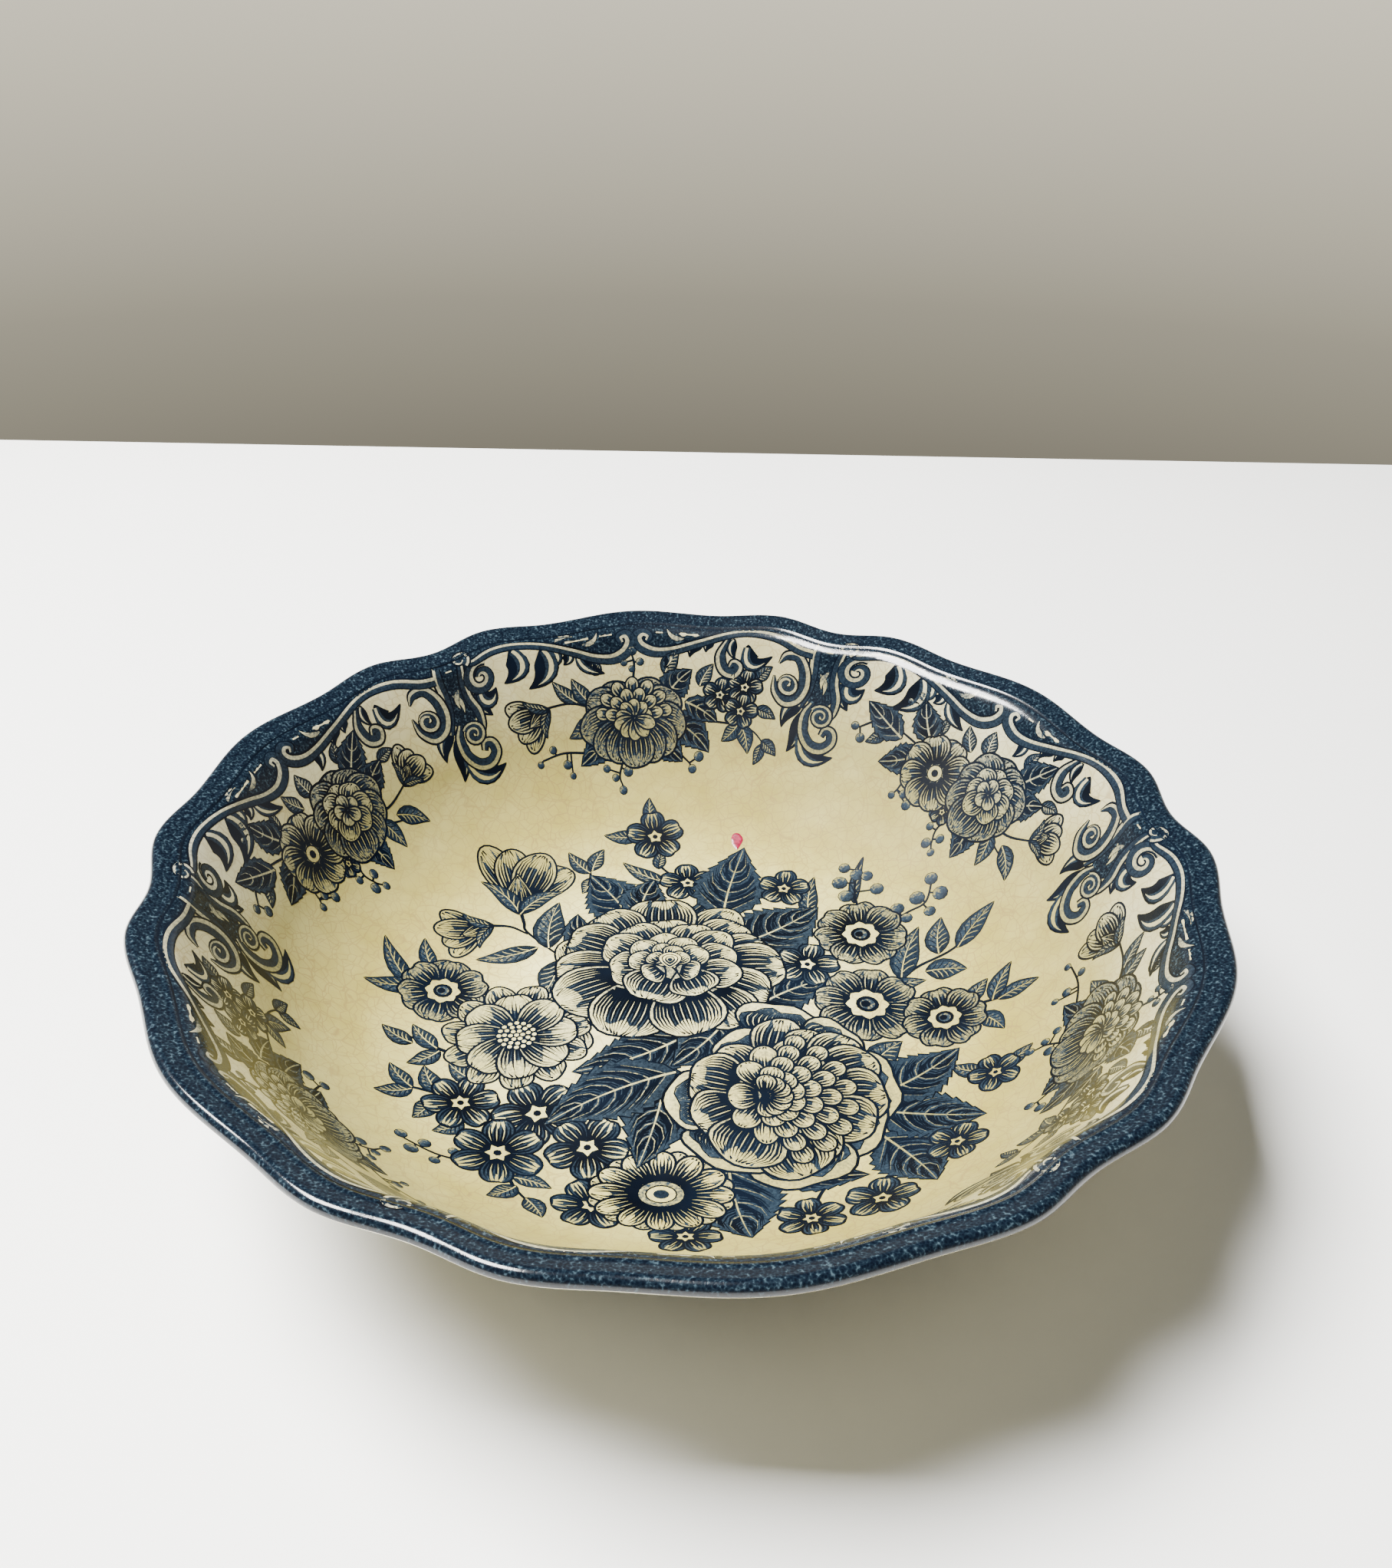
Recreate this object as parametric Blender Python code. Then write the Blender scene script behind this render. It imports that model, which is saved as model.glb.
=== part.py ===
"""Scalloped serving bowl in glazed ceramic: the turned clay body and the foot ring luted under it.

Row frame: metres, +Z up, origin on the surface the bowl stands on, at the centre of the foot ring.
The deep notches of the rim lie every 60 degrees, the first of them on +X.
"""

import math

import bmesh
import bpy

# Driving dimensions
RIM_RADIUS = 0.1185  # mean radius of the edge
HEIGHT = 0.060  # of the edge, before the scallops lift or lower it
FOOT_HEIGHT = 0.0055  # from the table to the underside of the well
WELL_THICKNESS = 0.0047
WALL_THICKNESS = 0.0040
LIP_THICKNESS = 0.0032
WELL_RADIUS = 0.052  # flat part of the floor inside
WALL_SLOPE = math.radians(56.5)
FLANGE_SLOPE = math.radians(22.0)
FLANGE_LENGTH = 0.0050
FLANGE_BEND = 0.0060  # radius of the bend between wall and flange
FOOT_OUTER_RADIUS = 0.0620
FOOT_INNER_RADIUS = 0.0555
FOOT_BEVEL = 0.0010
JOINT_GAP = 0.0003  # thickness of the slip joint between foot ring and body

# Scalloped edge: share of RIM_RADIUS at angles counted from the middle of each 60 degree sector
SECTORS = 6
EDGE_TURNS = ((0.0, 1.011), (12.0, 0.995), (21.0, 1.010), (30.0, 0.985))
SCALLOP_START = 0.35  # share of HEIGHT where the wall starts to follow the scalloped edge

# Facets
STEPS_AROUND = 144
CURVE_STEPS = 7
BEND_STEPS = 3
LIP_STEPS = 4

FLOOR_Z = FOOT_HEIGHT + WELL_THICKNESS
LIP_RADIUS = LIP_THICKNESS / 2


def edge_share(angle):
    """Radius of the scalloped edge at an angle about +Z, as a share of RIM_RADIUS."""
    sector = 360.0 / SECTORS
    folded = abs(math.degrees(angle) % sector - sector / 2)
    for (start, high), (end, low) in zip(EDGE_TURNS, EDGE_TURNS[1:]):
        if folded <= end:
            share = (1 - math.cos(math.pi * (folded - start) / (end - start))) / 2
            return high + (low - high) * share
    return EDGE_TURNS[-1][1]


def scallop(point):
    """Moves a turned point along the slope of the flange so that the upper wall follows the scalloped edge."""
    start = SCALLOP_START * HEIGHT
    rise = min(1.0, max(0.0, (point.z - start) / (HEIGHT - start)))
    growth = rise * rise * (edge_share(math.atan2(point.y, point.x)) - 1)
    point.z += growth * RIM_RADIUS * math.tan(FLANGE_SLOPE)
    point.x *= 1 + growth
    point.y *= 1 + growth


def wall_lengths():
    """Radius of the curve from floor to wall, and length of the straight wall, which meet rim and height."""
    across = RIM_RADIUS - WELL_RADIUS - FLANGE_LENGTH * math.cos(FLANGE_SLOPE) - LIP_RADIUS
    across -= FLANGE_BEND * (math.sin(WALL_SLOPE) - math.sin(FLANGE_SLOPE))
    up = HEIGHT - FLOOR_Z - FLANGE_LENGTH * math.sin(FLANGE_SLOPE)
    up -= FLANGE_BEND * (math.cos(FLANGE_SLOPE) - math.cos(WALL_SLOPE))
    up -= LIP_RADIUS * (1 - math.cos(FLANGE_SLOPE))
    rise, run = math.sin(WALL_SLOPE), math.cos(WALL_SLOPE)
    curve = (across * rise - up * run) / (rise * rise - run + run * run)
    straight = (across - curve * rise) / run
    return curve, straight


def inner_profile():
    """Inside of the bowl as (radius, z, slope) from the edge of the flat well to the lip."""
    curve, straight = wall_lengths()
    r, z = WELL_RADIUS, FLOOR_Z
    points = [(r, z, 0.0)]
    for i in range(1, CURVE_STEPS + 1):
        slope = WALL_SLOPE * i / CURVE_STEPS
        points.append((r + curve * math.sin(slope), z + curve * (1 - math.cos(slope)), slope))
    r, z, _ = points[-1]
    r += straight * math.cos(WALL_SLOPE)
    z += straight * math.sin(WALL_SLOPE)
    points.append((r, z, WALL_SLOPE))
    for i in range(1, BEND_STEPS + 1):
        slope = WALL_SLOPE + (FLANGE_SLOPE - WALL_SLOPE) * i / BEND_STEPS
        bend_r = r + FLANGE_BEND * (math.sin(WALL_SLOPE) - math.sin(slope))
        bend_z = z + FLANGE_BEND * (math.cos(slope) - math.cos(WALL_SLOPE))
        points.append((bend_r, bend_z, slope))
    r, z, slope = points[-1]
    points.append((r + FLANGE_LENGTH * math.cos(slope), z + FLANGE_LENGTH * math.sin(slope), slope))
    return points


def outer_profile(inner):
    """Outside of the bowl below the inside points, thinning from the well to the lip."""
    outer = []
    for r, z, slope in inner:
        if z < HEIGHT / 2:
            share = (z - FLOOR_Z) / (HEIGHT / 2 - FLOOR_Z)
            thickness = WELL_THICKNESS + (WALL_THICKNESS - WELL_THICKNESS) * share
        else:
            share = (z - HEIGHT / 2) / (HEIGHT / 2)
            thickness = WALL_THICKNESS + (LIP_THICKNESS - WALL_THICKNESS) * share
        outer.append((r + thickness * math.sin(slope), z - thickness * math.cos(slope)))
    r, z, slope = inner[-1]
    outer[-1] = (r + LIP_THICKNESS * math.sin(slope), z - LIP_THICKNESS * math.cos(slope))
    return outer


def lip_profile(inner):
    """Half round of the lip, from the inside of the flange over the edge to its underside."""
    r, z, slope = inner[-1]
    centre_r = r + LIP_RADIUS * math.sin(slope)
    centre_z = z - LIP_RADIUS * math.cos(slope)
    points = []
    for i in range(1, LIP_STEPS):
        turn = math.pi / 2 + slope - math.pi * i / LIP_STEPS
        points.append((centre_r + LIP_RADIUS * math.cos(turn), centre_z + LIP_RADIUS * math.sin(turn)))
    return points


def underside_z(radius, outer):
    """Height of the bowl's underside at a radius."""
    for (r0, z0), (r1, z1) in zip(outer, outer[1:]):
        if r0 <= radius <= r1:
            return z0 + (z1 - z0) * (radius - r0) / (r1 - r0)
    return outer[0][1]


def turned(name, profile, closed, material):
    """Object made by turning a profile of (radius, z) points once about Z."""
    mesh = bpy.data.meshes.new(name)
    bm = bmesh.new()
    verts = [bm.verts.new((r, 0.0, z)) for r, z in profile]
    pairs = list(zip(verts, verts[1:]))
    if closed:
        pairs.append((verts[-1], verts[0]))
    edges = [bm.edges.new(pair) for pair in pairs]
    bmesh.ops.spin(
        bm, geom=verts + edges, cent=(0, 0, 0), axis=(0, 0, 1), angle=math.tau, steps=STEPS_AROUND, use_merge=True
    )
    bmesh.ops.remove_doubles(bm, verts=bm.verts, dist=1e-6)
    for vert in bm.verts:
        scallop(vert.co)
    bmesh.ops.recalc_face_normals(bm, faces=bm.faces)
    bm.to_mesh(mesh)
    bm.free()
    mesh.shade_smooth()
    mesh.set_sharp_from_angle(angle=math.radians(35))
    mesh.materials.append(material)
    obj = bpy.data.objects.new(name, mesh)
    bpy.context.scene.collection.objects.link(obj)
    return obj


def ceramic(name, colour, roughness):
    """Principled material of one colour."""
    material = bpy.data.materials.new(name)
    material.use_nodes = True
    shader = material.node_tree.nodes["Principled BSDF"]
    shader.inputs["Base Color"].default_value = (*colour, 1.0)
    shader.inputs["Roughness"].default_value = roughness
    shader.inputs["Metallic"].default_value = 0.0
    return material


def bowl_body():
    """Clay body: flat well, curved wall, flared scalloped lip, underside with a flat centre."""
    inner = inner_profile()
    outer = outer_profile(inner)
    sides = [(r, z) for r, z, _ in inner] + lip_profile(inner) + outer[::-1]
    profile = [(0.0, FLOOR_Z), *sides, (0.0, outer[0][1])]
    return turned("bowl_body", profile, False, ceramic("glazed_cream", (0.80, 0.74, 0.58), 0.12))


def foot_ring():
    """Ring that the bowl stands on, with a flat bearing edge, fitted to the underside of the body."""
    outer = outer_profile(inner_profile())
    middle = (FOOT_INNER_RADIUS + FOOT_OUTER_RADIUS) / 2
    top = [(r, underside_z(r, outer) - JOINT_GAP) for r in (FOOT_INNER_RADIUS, middle, FOOT_OUTER_RADIUS)]
    profile = [
        (FOOT_INNER_RADIUS, FOOT_BEVEL),
        (FOOT_INNER_RADIUS + FOOT_BEVEL, 0.0),
        (FOOT_OUTER_RADIUS - FOOT_BEVEL, 0.0),
        (FOOT_OUTER_RADIUS, FOOT_BEVEL),
        *top[::-1],
    ]
    return turned("foot_ring", profile, True, ceramic("bare_biscuit", (0.72, 0.62, 0.47), 0.75))


def main():
    for obj in list(bpy.data.objects):
        bpy.data.objects.remove(obj)
    bowl_body()
    foot_ring()


main()
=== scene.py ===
"""Looks of the scalloped serving bowl: crazed cream glaze over a blue flower print, and a worn foot ring.

Lengths are in millimetres until a mesh is made. Points of the flat drawings are complex numbers, x + y*1j.
"""

import cmath
import math
import random

import bmesh
import bpy
import numpy as np
from mathutils import Matrix, Vector
from mathutils.geometry import delaunay_2d_cdt


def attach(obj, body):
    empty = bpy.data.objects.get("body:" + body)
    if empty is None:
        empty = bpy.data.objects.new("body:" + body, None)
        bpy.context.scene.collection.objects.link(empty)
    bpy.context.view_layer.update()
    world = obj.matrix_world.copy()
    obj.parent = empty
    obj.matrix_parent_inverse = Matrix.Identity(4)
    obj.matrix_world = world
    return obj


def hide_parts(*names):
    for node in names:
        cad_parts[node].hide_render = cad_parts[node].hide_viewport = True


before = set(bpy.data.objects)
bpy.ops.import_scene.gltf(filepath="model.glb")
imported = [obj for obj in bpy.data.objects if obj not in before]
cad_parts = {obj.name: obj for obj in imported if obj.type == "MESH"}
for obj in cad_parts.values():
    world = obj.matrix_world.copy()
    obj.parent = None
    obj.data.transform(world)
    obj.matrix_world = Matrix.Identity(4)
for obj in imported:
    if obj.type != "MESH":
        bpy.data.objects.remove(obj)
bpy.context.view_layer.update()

MM = 0.001

# Shape of the bowl, the same as in the solids
RIM_RADIUS = 118.5
HEIGHT = 60.0
FOOT_HEIGHT = 5.5
WELL_THICKNESS = 4.7
WALL_THICKNESS = 4.0
LIP_THICKNESS = 3.2
WELL_RADIUS = 52.0
WALL_SLOPE = math.radians(56.5)
FLANGE_SLOPE = math.radians(22.0)
FLANGE_LENGTH = 5.0
FLANGE_BEND = 6.0
SECTORS = 6
EDGE_TURNS = ((0.0, 1.011), (12.0, 0.995), (21.0, 1.010), (30.0, 0.985))
SCALLOP_START = 0.35
FLOOR_Z = FOOT_HEIGHT + WELL_THICKNESS
LIP_RADIUS = LIP_THICKNESS / 2

# Foot ring
FOOT_OUTER_RADIUS = 62.0
FOOT_INNER_RADIUS = 55.5
FOOT_EDGE = 1.3  # radius of the round bearing edge
FOOT_EDGE_START = 0.2  # angle at which its round starts, in radians
FOOT_STEPS_AROUND = 288

# Fine detail of the surface
BEAD_AT = 134.3  # distance of the moulded bead from the middle, along the inside
BEAD_HEIGHT = 0.22
BEAD_WIDTH = 0.55
PRINT_LIFT = 0.05  # of the print over the glaze
STEPS_AROUND = 432
ANGLES = np.linspace(0, math.tau, STEPS_AROUND, endpoint=False)
LIP_STEPS = 13
DAB_HEIGHT = 0.12

# Layout of the print
STRIP_RADIUS = 100.0  # radius at which one drawn millimetre of the border spans one millimetre
BAND_EDGE = 130.0  # distance of the rim band from the middle, along the inside
STIPPLE_EDGE = 132.6  # where the drawn stipple hands over to the rim band
SECTOR_WIDTH = STRIP_RADIUS * math.tau / SECTORS
BOUQUET_TURN = -8.6  # degrees from +X of the bowl to the bouquet's own right

STIPPLE = 2.0  # ink value of the stippled ground
OUTLINE_GAIN = 1.65  # weight of petal outlines
HATCH_GAIN = 1.5  # weight of the hatching on petals
RIBBON_GAIN = 1.16  # width of the scroll bands
HORN_GAIN = 1.3  # width of the acanthus tips
THINNEST_STROKE = 0.02
CURVE_STEPS = 6  # pieces between two points of a curve
GARDEN_SEED = 4


# ---------------------------------------------------------------- shape of the bowl


def inner_sections():
    """Dense inner profile: distance along it from the middle, radius, z and slope."""
    across = RIM_RADIUS - WELL_RADIUS - FLANGE_LENGTH * math.cos(FLANGE_SLOPE) - LIP_RADIUS
    across -= FLANGE_BEND * (math.sin(WALL_SLOPE) - math.sin(FLANGE_SLOPE))
    up = HEIGHT - FLOOR_Z - FLANGE_LENGTH * math.sin(FLANGE_SLOPE)
    up -= FLANGE_BEND * (math.cos(FLANGE_SLOPE) - math.cos(WALL_SLOPE))
    up -= LIP_RADIUS * (1 - math.cos(FLANGE_SLOPE))
    rise, run = math.sin(WALL_SLOPE), math.cos(WALL_SLOPE)
    curve = (across * rise - up * run) / (rise * rise - run + run * run)
    straight = (across - curve * rise) / run
    rows = [(s, s, FLOOR_Z, 0.0) for s in np.linspace(0, WELL_RADIUS, 27)]
    for slope in np.linspace(0, WALL_SLOPE, 41)[1:]:
        r = WELL_RADIUS + curve * math.sin(slope)
        rows.append((WELL_RADIUS + curve * slope, r, FLOOR_Z + curve * (1 - math.cos(slope)), slope))
    s, r, z, slope = rows[-1]
    for length in np.linspace(0, straight, 23)[1:]:
        rows.append((s + length, r + length * run, z + length * rise, slope))
    s, r, z, _ = rows[-1]
    for slope in np.linspace(WALL_SLOPE, FLANGE_SLOPE, 9)[1:]:
        bend_r = r + FLANGE_BEND * (math.sin(WALL_SLOPE) - math.sin(slope))
        bend_z = z + FLANGE_BEND * (math.cos(slope) - math.cos(WALL_SLOPE))
        rows.append((s + FLANGE_BEND * (WALL_SLOPE - slope), bend_r, bend_z, slope))
    s, r, z, slope = rows[-1]
    for length in np.linspace(0, FLANGE_LENGTH, 15)[1:]:
        rows.append((s + length, r + length * math.cos(slope), z + length * math.sin(slope), slope))
    return np.array(rows)


SECTION = inner_sections()
LIP_START = SECTION[-1, 0]


def edge_share(angles):
    """Radius of the scalloped edge, as a share of RIM_RADIUS."""
    sector = 360.0 / SECTORS
    folded = np.abs(np.degrees(angles) % sector - sector / 2)
    shares = np.full_like(folded, EDGE_TURNS[-1][1])
    for (start, high), (end, low) in zip(EDGE_TURNS, EDGE_TURNS[1:]):
        inside = (folded >= start) & (folded <= end)
        blend = (1 - np.cos(np.pi * (folded - start) / (end - start))) / 2
        shares = np.where(inside, high + (low - high) * blend, shares)
    return shares


def scalloped(r, z, angles):
    """Points of the bowl for turned radii and heights, moved with the scalloped edge."""
    start = SCALLOP_START * HEIGHT
    rise = np.clip((z - start) / (HEIGHT - start), 0, 1)
    growth = rise * rise * (edge_share(angles) - 1)
    reach = r * (1 + growth)
    lifted = z + growth * RIM_RADIUS * math.tan(FLANGE_SLOPE)
    return np.stack([reach * np.cos(angles), reach * np.sin(angles), lifted], axis=-1)


def lip_point(s, lift):
    """Radius and z on the half round of the lip, lifted off it; s is counted on from the inside."""
    _, r, z, slope = SECTION[-1]
    around = math.pi / 2 + slope - (s - LIP_START) / LIP_RADIUS
    lip_r = r + LIP_RADIUS * math.sin(slope) + LIP_RADIUS * np.cos(around) + lift * np.cos(around)
    lip_z = z - LIP_RADIUS * math.cos(slope) + LIP_RADIUS * np.sin(around) + lift * np.sin(around)
    return lip_r, lip_z


def turned_inside(s, lift):
    """Radius and z of the inside at distances s from the middle, lifted off the surface."""
    r = np.interp(s, SECTION[:, 0], SECTION[:, 1])
    z = np.interp(s, SECTION[:, 0], SECTION[:, 2])
    slope = np.interp(s, SECTION[:, 0], SECTION[:, 3])
    bead = lift + BEAD_HEIGHT * np.exp(-(((s - BEAD_AT) / BEAD_WIDTH) ** 2))
    return r - bead * np.sin(slope), z + bead * np.cos(slope)


def inside(s, angles, lift=0.0):
    """Points on the inside of the bowl, and over its lip when s runs past LIP_START."""
    r, z = turned_inside(np.minimum(s, LIP_START), lift)
    lip_r, lip_z = lip_point(s, lift)
    over = s > LIP_START
    return scalloped(np.where(over, lip_r, r), np.where(over, lip_z, z), angles)


def rings(stations, lift=0.0):
    """Rings of points on the inside, one for each distance from the middle."""
    return [inside(np.full_like(ANGLES, s), ANGLES, lift) for s in stations]


def inside_normals(s, angles):
    """Unit normals of the inside, from small steps along and around it."""
    step = 0.05
    along = inside(s + step, angles) - inside(np.maximum(s - step, 0.01), angles)
    around = inside(s, angles + step / 50) - inside(s, angles - step / 50)
    normals = np.cross(along, around)
    return normals / np.linalg.norm(normals, axis=-1, keepdims=True)


def outer_profile():
    """Outside of the bowl from the lip down to the middle of the underside, as (radius, z)."""
    rows = []
    for s, r, z, slope in SECTION[::-1]:
        if s < WELL_RADIUS:
            rows.append((r, FOOT_HEIGHT))
            continue
        if z < HEIGHT / 2:
            share = (z - FLOOR_Z) / (HEIGHT / 2 - FLOOR_Z)
            thickness = WELL_THICKNESS + (WALL_THICKNESS - WELL_THICKNESS) * share
        else:
            share = (z - HEIGHT / 2) / (SECTION[-1, 2] - HEIGHT / 2)
            thickness = WALL_THICKNESS + (LIP_THICKNESS - WALL_THICKNESS) * share
        rows.append((r + thickness * math.sin(slope), z - thickness * math.cos(slope)))
    return rows


def grid_mesh(name, rows, closed_ends):
    """Mesh of rings; every row is an array of points around, first and last may close to a point."""
    mesh = bpy.data.meshes.new(name)
    count = len(rows[0])
    verts = [tuple(point * MM) for row in rows for point in row]
    faces = []
    for i in range(len(rows) - 1):
        for j in range(count):
            k = (j + 1) % count
            faces.append((i * count + j, (i + 1) * count + j, (i + 1) * count + k, i * count + k))
    mesh.from_pydata(verts, [], faces)
    bm = bmesh.new()
    bm.from_mesh(mesh)
    if closed_ends:
        bmesh.ops.remove_doubles(bm, verts=bm.verts, dist=1e-6)
    bmesh.ops.recalc_face_normals(bm, faces=bm.faces)
    bm.to_mesh(mesh)
    bm.free()
    mesh.shade_smooth()
    return mesh


def add_piece(mesh, materials, replaced=None):
    """Object that rides on the bowl, named like its mesh."""
    for material in materials:
        mesh.materials.append(material)
    piece = bpy.data.objects.new(mesh.name, mesh)
    bpy.context.scene.collection.objects.link(piece)
    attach(piece, "root")
    if replaced:
        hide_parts(replaced)


def bowl(material):
    """Glazed body with every scallop, the bead of the band and the rounded lip."""
    lip = np.linspace(LIP_START, LIP_START + math.pi * LIP_RADIUS, LIP_STEPS)[1:-1]
    rows = rings([*SECTION[:, 0], *lip])
    for r, z in outer_profile():
        rows.append(scalloped(np.full_like(ANGLES, r), np.full_like(ANGLES, z), ANGLES))
    add_piece(grid_mesh("glazed_body", rows, True), [material], replaced="bowl_body")


def foot(material):
    """Foot ring, drawn in a little towards the table, with a rounded bearing edge."""
    outer, inner = FOOT_OUTER_RADIUS, FOOT_INNER_RADIUS

    def rounded(r, side, start, end):
        """Round of the bearing edge; side is the way it turns in from its radius."""
        turns = np.linspace(start, end, 6)
        return [(r + side * FOOT_EDGE * (1 - math.cos(a)), FOOT_EDGE * (1 - math.sin(a))) for a in turns]

    profile = [(outer + 0.9, 6.9), (outer + 0.2, 6.2), (outer - 0.25, 5.2), (outer - 0.5, 3.4)]
    profile += [(outer - 0.55, 1.6), *rounded(outer - 0.55, -1, FOOT_EDGE_START, math.pi / 2)]
    profile += [((inner + outer) / 2, 0.0), *rounded(inner + 0.35, 1, math.pi / 2, FOOT_EDGE_START)]
    profile += [(inner + 0.35, 1.6), (inner + 0.25, 3.6), (inner - 0.1, 4.9), (inner - 0.9, 5.75)]
    angles = np.linspace(0, math.tau, FOOT_STEPS_AROUND, endpoint=False)
    rows = [
        np.stack([r * np.cos(angles), r * np.sin(angles), np.full_like(angles, z)], axis=-1)
        for r, z in [*profile, profile[0]]
    ]
    add_piece(grid_mesh("worn_foot", rows, True), [material], "foot_ring")


# ---------------------------------------------------------------- flat drawing


def turn(degrees):
    """Unit vector at an angle."""
    return cmath.exp(1j * math.radians(degrees))


def anticlockwise(outline):
    """Outline with its points in anticlockwise order."""
    area = sum((a.conjugate() * b).imag for a, b in zip(outline, outline[1:] + outline[:1]))
    return outline[::-1] if area < 0 else outline


def grown(outline, distance):
    """Outline moved outwards all round."""
    count = len(outline)
    result = []
    for i, point in enumerate(outline):
        run = outline[(i + 1) % count] - outline[i - 1]
        if abs(run) > 1e-9:
            point = point - 1j * distance * run / abs(run)
        result.append(point)
    return result


def curve(points):
    """Smooth open curve through the given points."""
    ends = [2 * points[0] - points[1], *points, 2 * points[-1] - points[-2]]
    result = []
    for a, b, c, d in zip(ends, ends[1:], ends[2:], ends[3:]):
        for i in range(CURVE_STEPS):
            t = i / CURVE_STEPS
            bend = 2 * a - 5 * b + 4 * c - d
            twist = 3 * (b - c) + d - a
            result.append(b + 0.5 * t * ((c - a) + t * (bend + t * twist)))
    result.append(points[-1])
    return result


def left_of(path, i):
    """Unit vector to the left of a path at one of its points."""
    run = path[min(i + 1, len(path) - 1)] - path[max(i - 1, 0)]
    return 1j * run / max(abs(run), 1e-9)


def width_at(widths, share):
    """Width at a share of the way along a path whose width runs through the given widths."""
    place = share * (len(widths) - 1)
    low = min(int(place), len(widths) - 2)
    return widths[low] + (widths[low + 1] - widths[low]) * (place - low)


def circle(centre, radius, count=14, squash=1.0):
    """Round outline, squashed along y on request."""
    ring = [radius * turn(360 * i / count) for i in range(count)]
    return [centre + complex(p.real, p.imag * squash) for p in ring]


def curl(centre, start_radius, end_radius, start, sweep, count=16):
    """Spiral path about a centre; start and sweep are in degrees."""
    points = []
    for i in range(count + 1):
        share = i / count
        radius = start_radius + (end_radius - start_radius) * share
        points.append(centre + radius * turn(start + sweep * share))
    return points


def petal_form(u):
    """Half width along a petal: narrow foot, broad rounded end."""
    return math.sqrt(max(0.0, math.sin(math.pi * u**1.5)))


def strap_form(u):
    """Half width along a narrow petal."""
    return math.sqrt(max(0.0, math.sin(math.pi * u**1.9)))


def leaf_form(u):
    """Half width along a leaf: full near the foot, drawn out to a point."""
    return max(0.0, math.sin(math.pi * u**0.8)) * (1.08 - 0.25 * u)


class Blade:
    """Petal or leaf about a bent axis; u runs from foot to tip, v from -1 to 1 across."""

    def __init__(self, base, tip, half_width, form, bend=0.0):
        self.base = base
        self.run = tip - base
        self.half_width = half_width
        self.form = form
        self.bend = bend

    def at(self, u, v):
        """Point of the blade."""
        axis = self.base + self.run * (u + 1j * self.bend * 4 * u * (1 - u) * 0.5)
        heading = self.run * (1+1j * self.bend * 2 * (1 - 2 * u))
        return axis + 1j * heading / abs(heading) * self.half_width * self.form(u) * v

    def outline(self, count=12, frill=0.0, waves=7, notch=0.0, teeth=0, bite=0.0):
        """Closed outline, with a wavy end, a notched tip or saw teeth on request."""
        stations = [(1 - math.cos(math.pi * i / count)) / 2 for i in range(count + 1)]
        if teeth:
            stations = []
            for i in range(teeth):
                stations += [0.06 + 0.9 * i / teeth, 0.06 + 0.9 * (i + 0.82) / teeth]
            stations = [0.0, *stations, 1.0]
        sides = [(u, -1) for u in stations] + [(u, 1) for u in stations[-2:0:-1]]
        points = []
        for u, side in sides:
            v = side
            if teeth and 0 < u < 1:
                v = side * (1 + bite * (stations.index(u) % 2 * 2 - 1))
            point = self.at(u, v)
            arm = point - self.base
            if abs(arm) > 1e-6 and (frill or notch):
                aside = cmath.phase(arm / self.run)
                ease = u * u
                wave = 1 + frill * math.cos(waves * aside + waves) * ease
                wave -= notch * math.exp(-((aside / 0.16) ** 2)) * ease
                point = self.base + arm * wave
            points.append(point)
        return points


class Drawing:
    """Closed shapes in painter's order, each with a shade of ink: 0 is bare glaze and 1 is full ink."""

    def __init__(self):
        self.shapes = []

    def fill(self, outline, ink, fade=None):
        """Fills an outline; fade is (start, end, ink at the end)."""
        self.shapes.append((anticlockwise(outline), ink, fade))

    def cell(self, outline, ink=0.0, fade=None, line=0.22):
        """Fills an outline and draws a dark line around it."""
        outline = anticlockwise(outline)
        self.fill(grown(outline, line), 1.0)
        self.fill(outline, ink, fade)

    def stroke(self, path, widths, ink=1.0):
        """Brush stroke whose width runs through the given widths from start to end."""
        left, right = [], []
        for i, point in enumerate(path):
            width = max(width_at(widths, i / (len(path) - 1)), THINNEST_STROKE)
            aside = left_of(path, i) * width / 2
            left.append(point + aside)
            right.append(point - aside)
        self.fill(right + left[::-1], ink)


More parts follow.
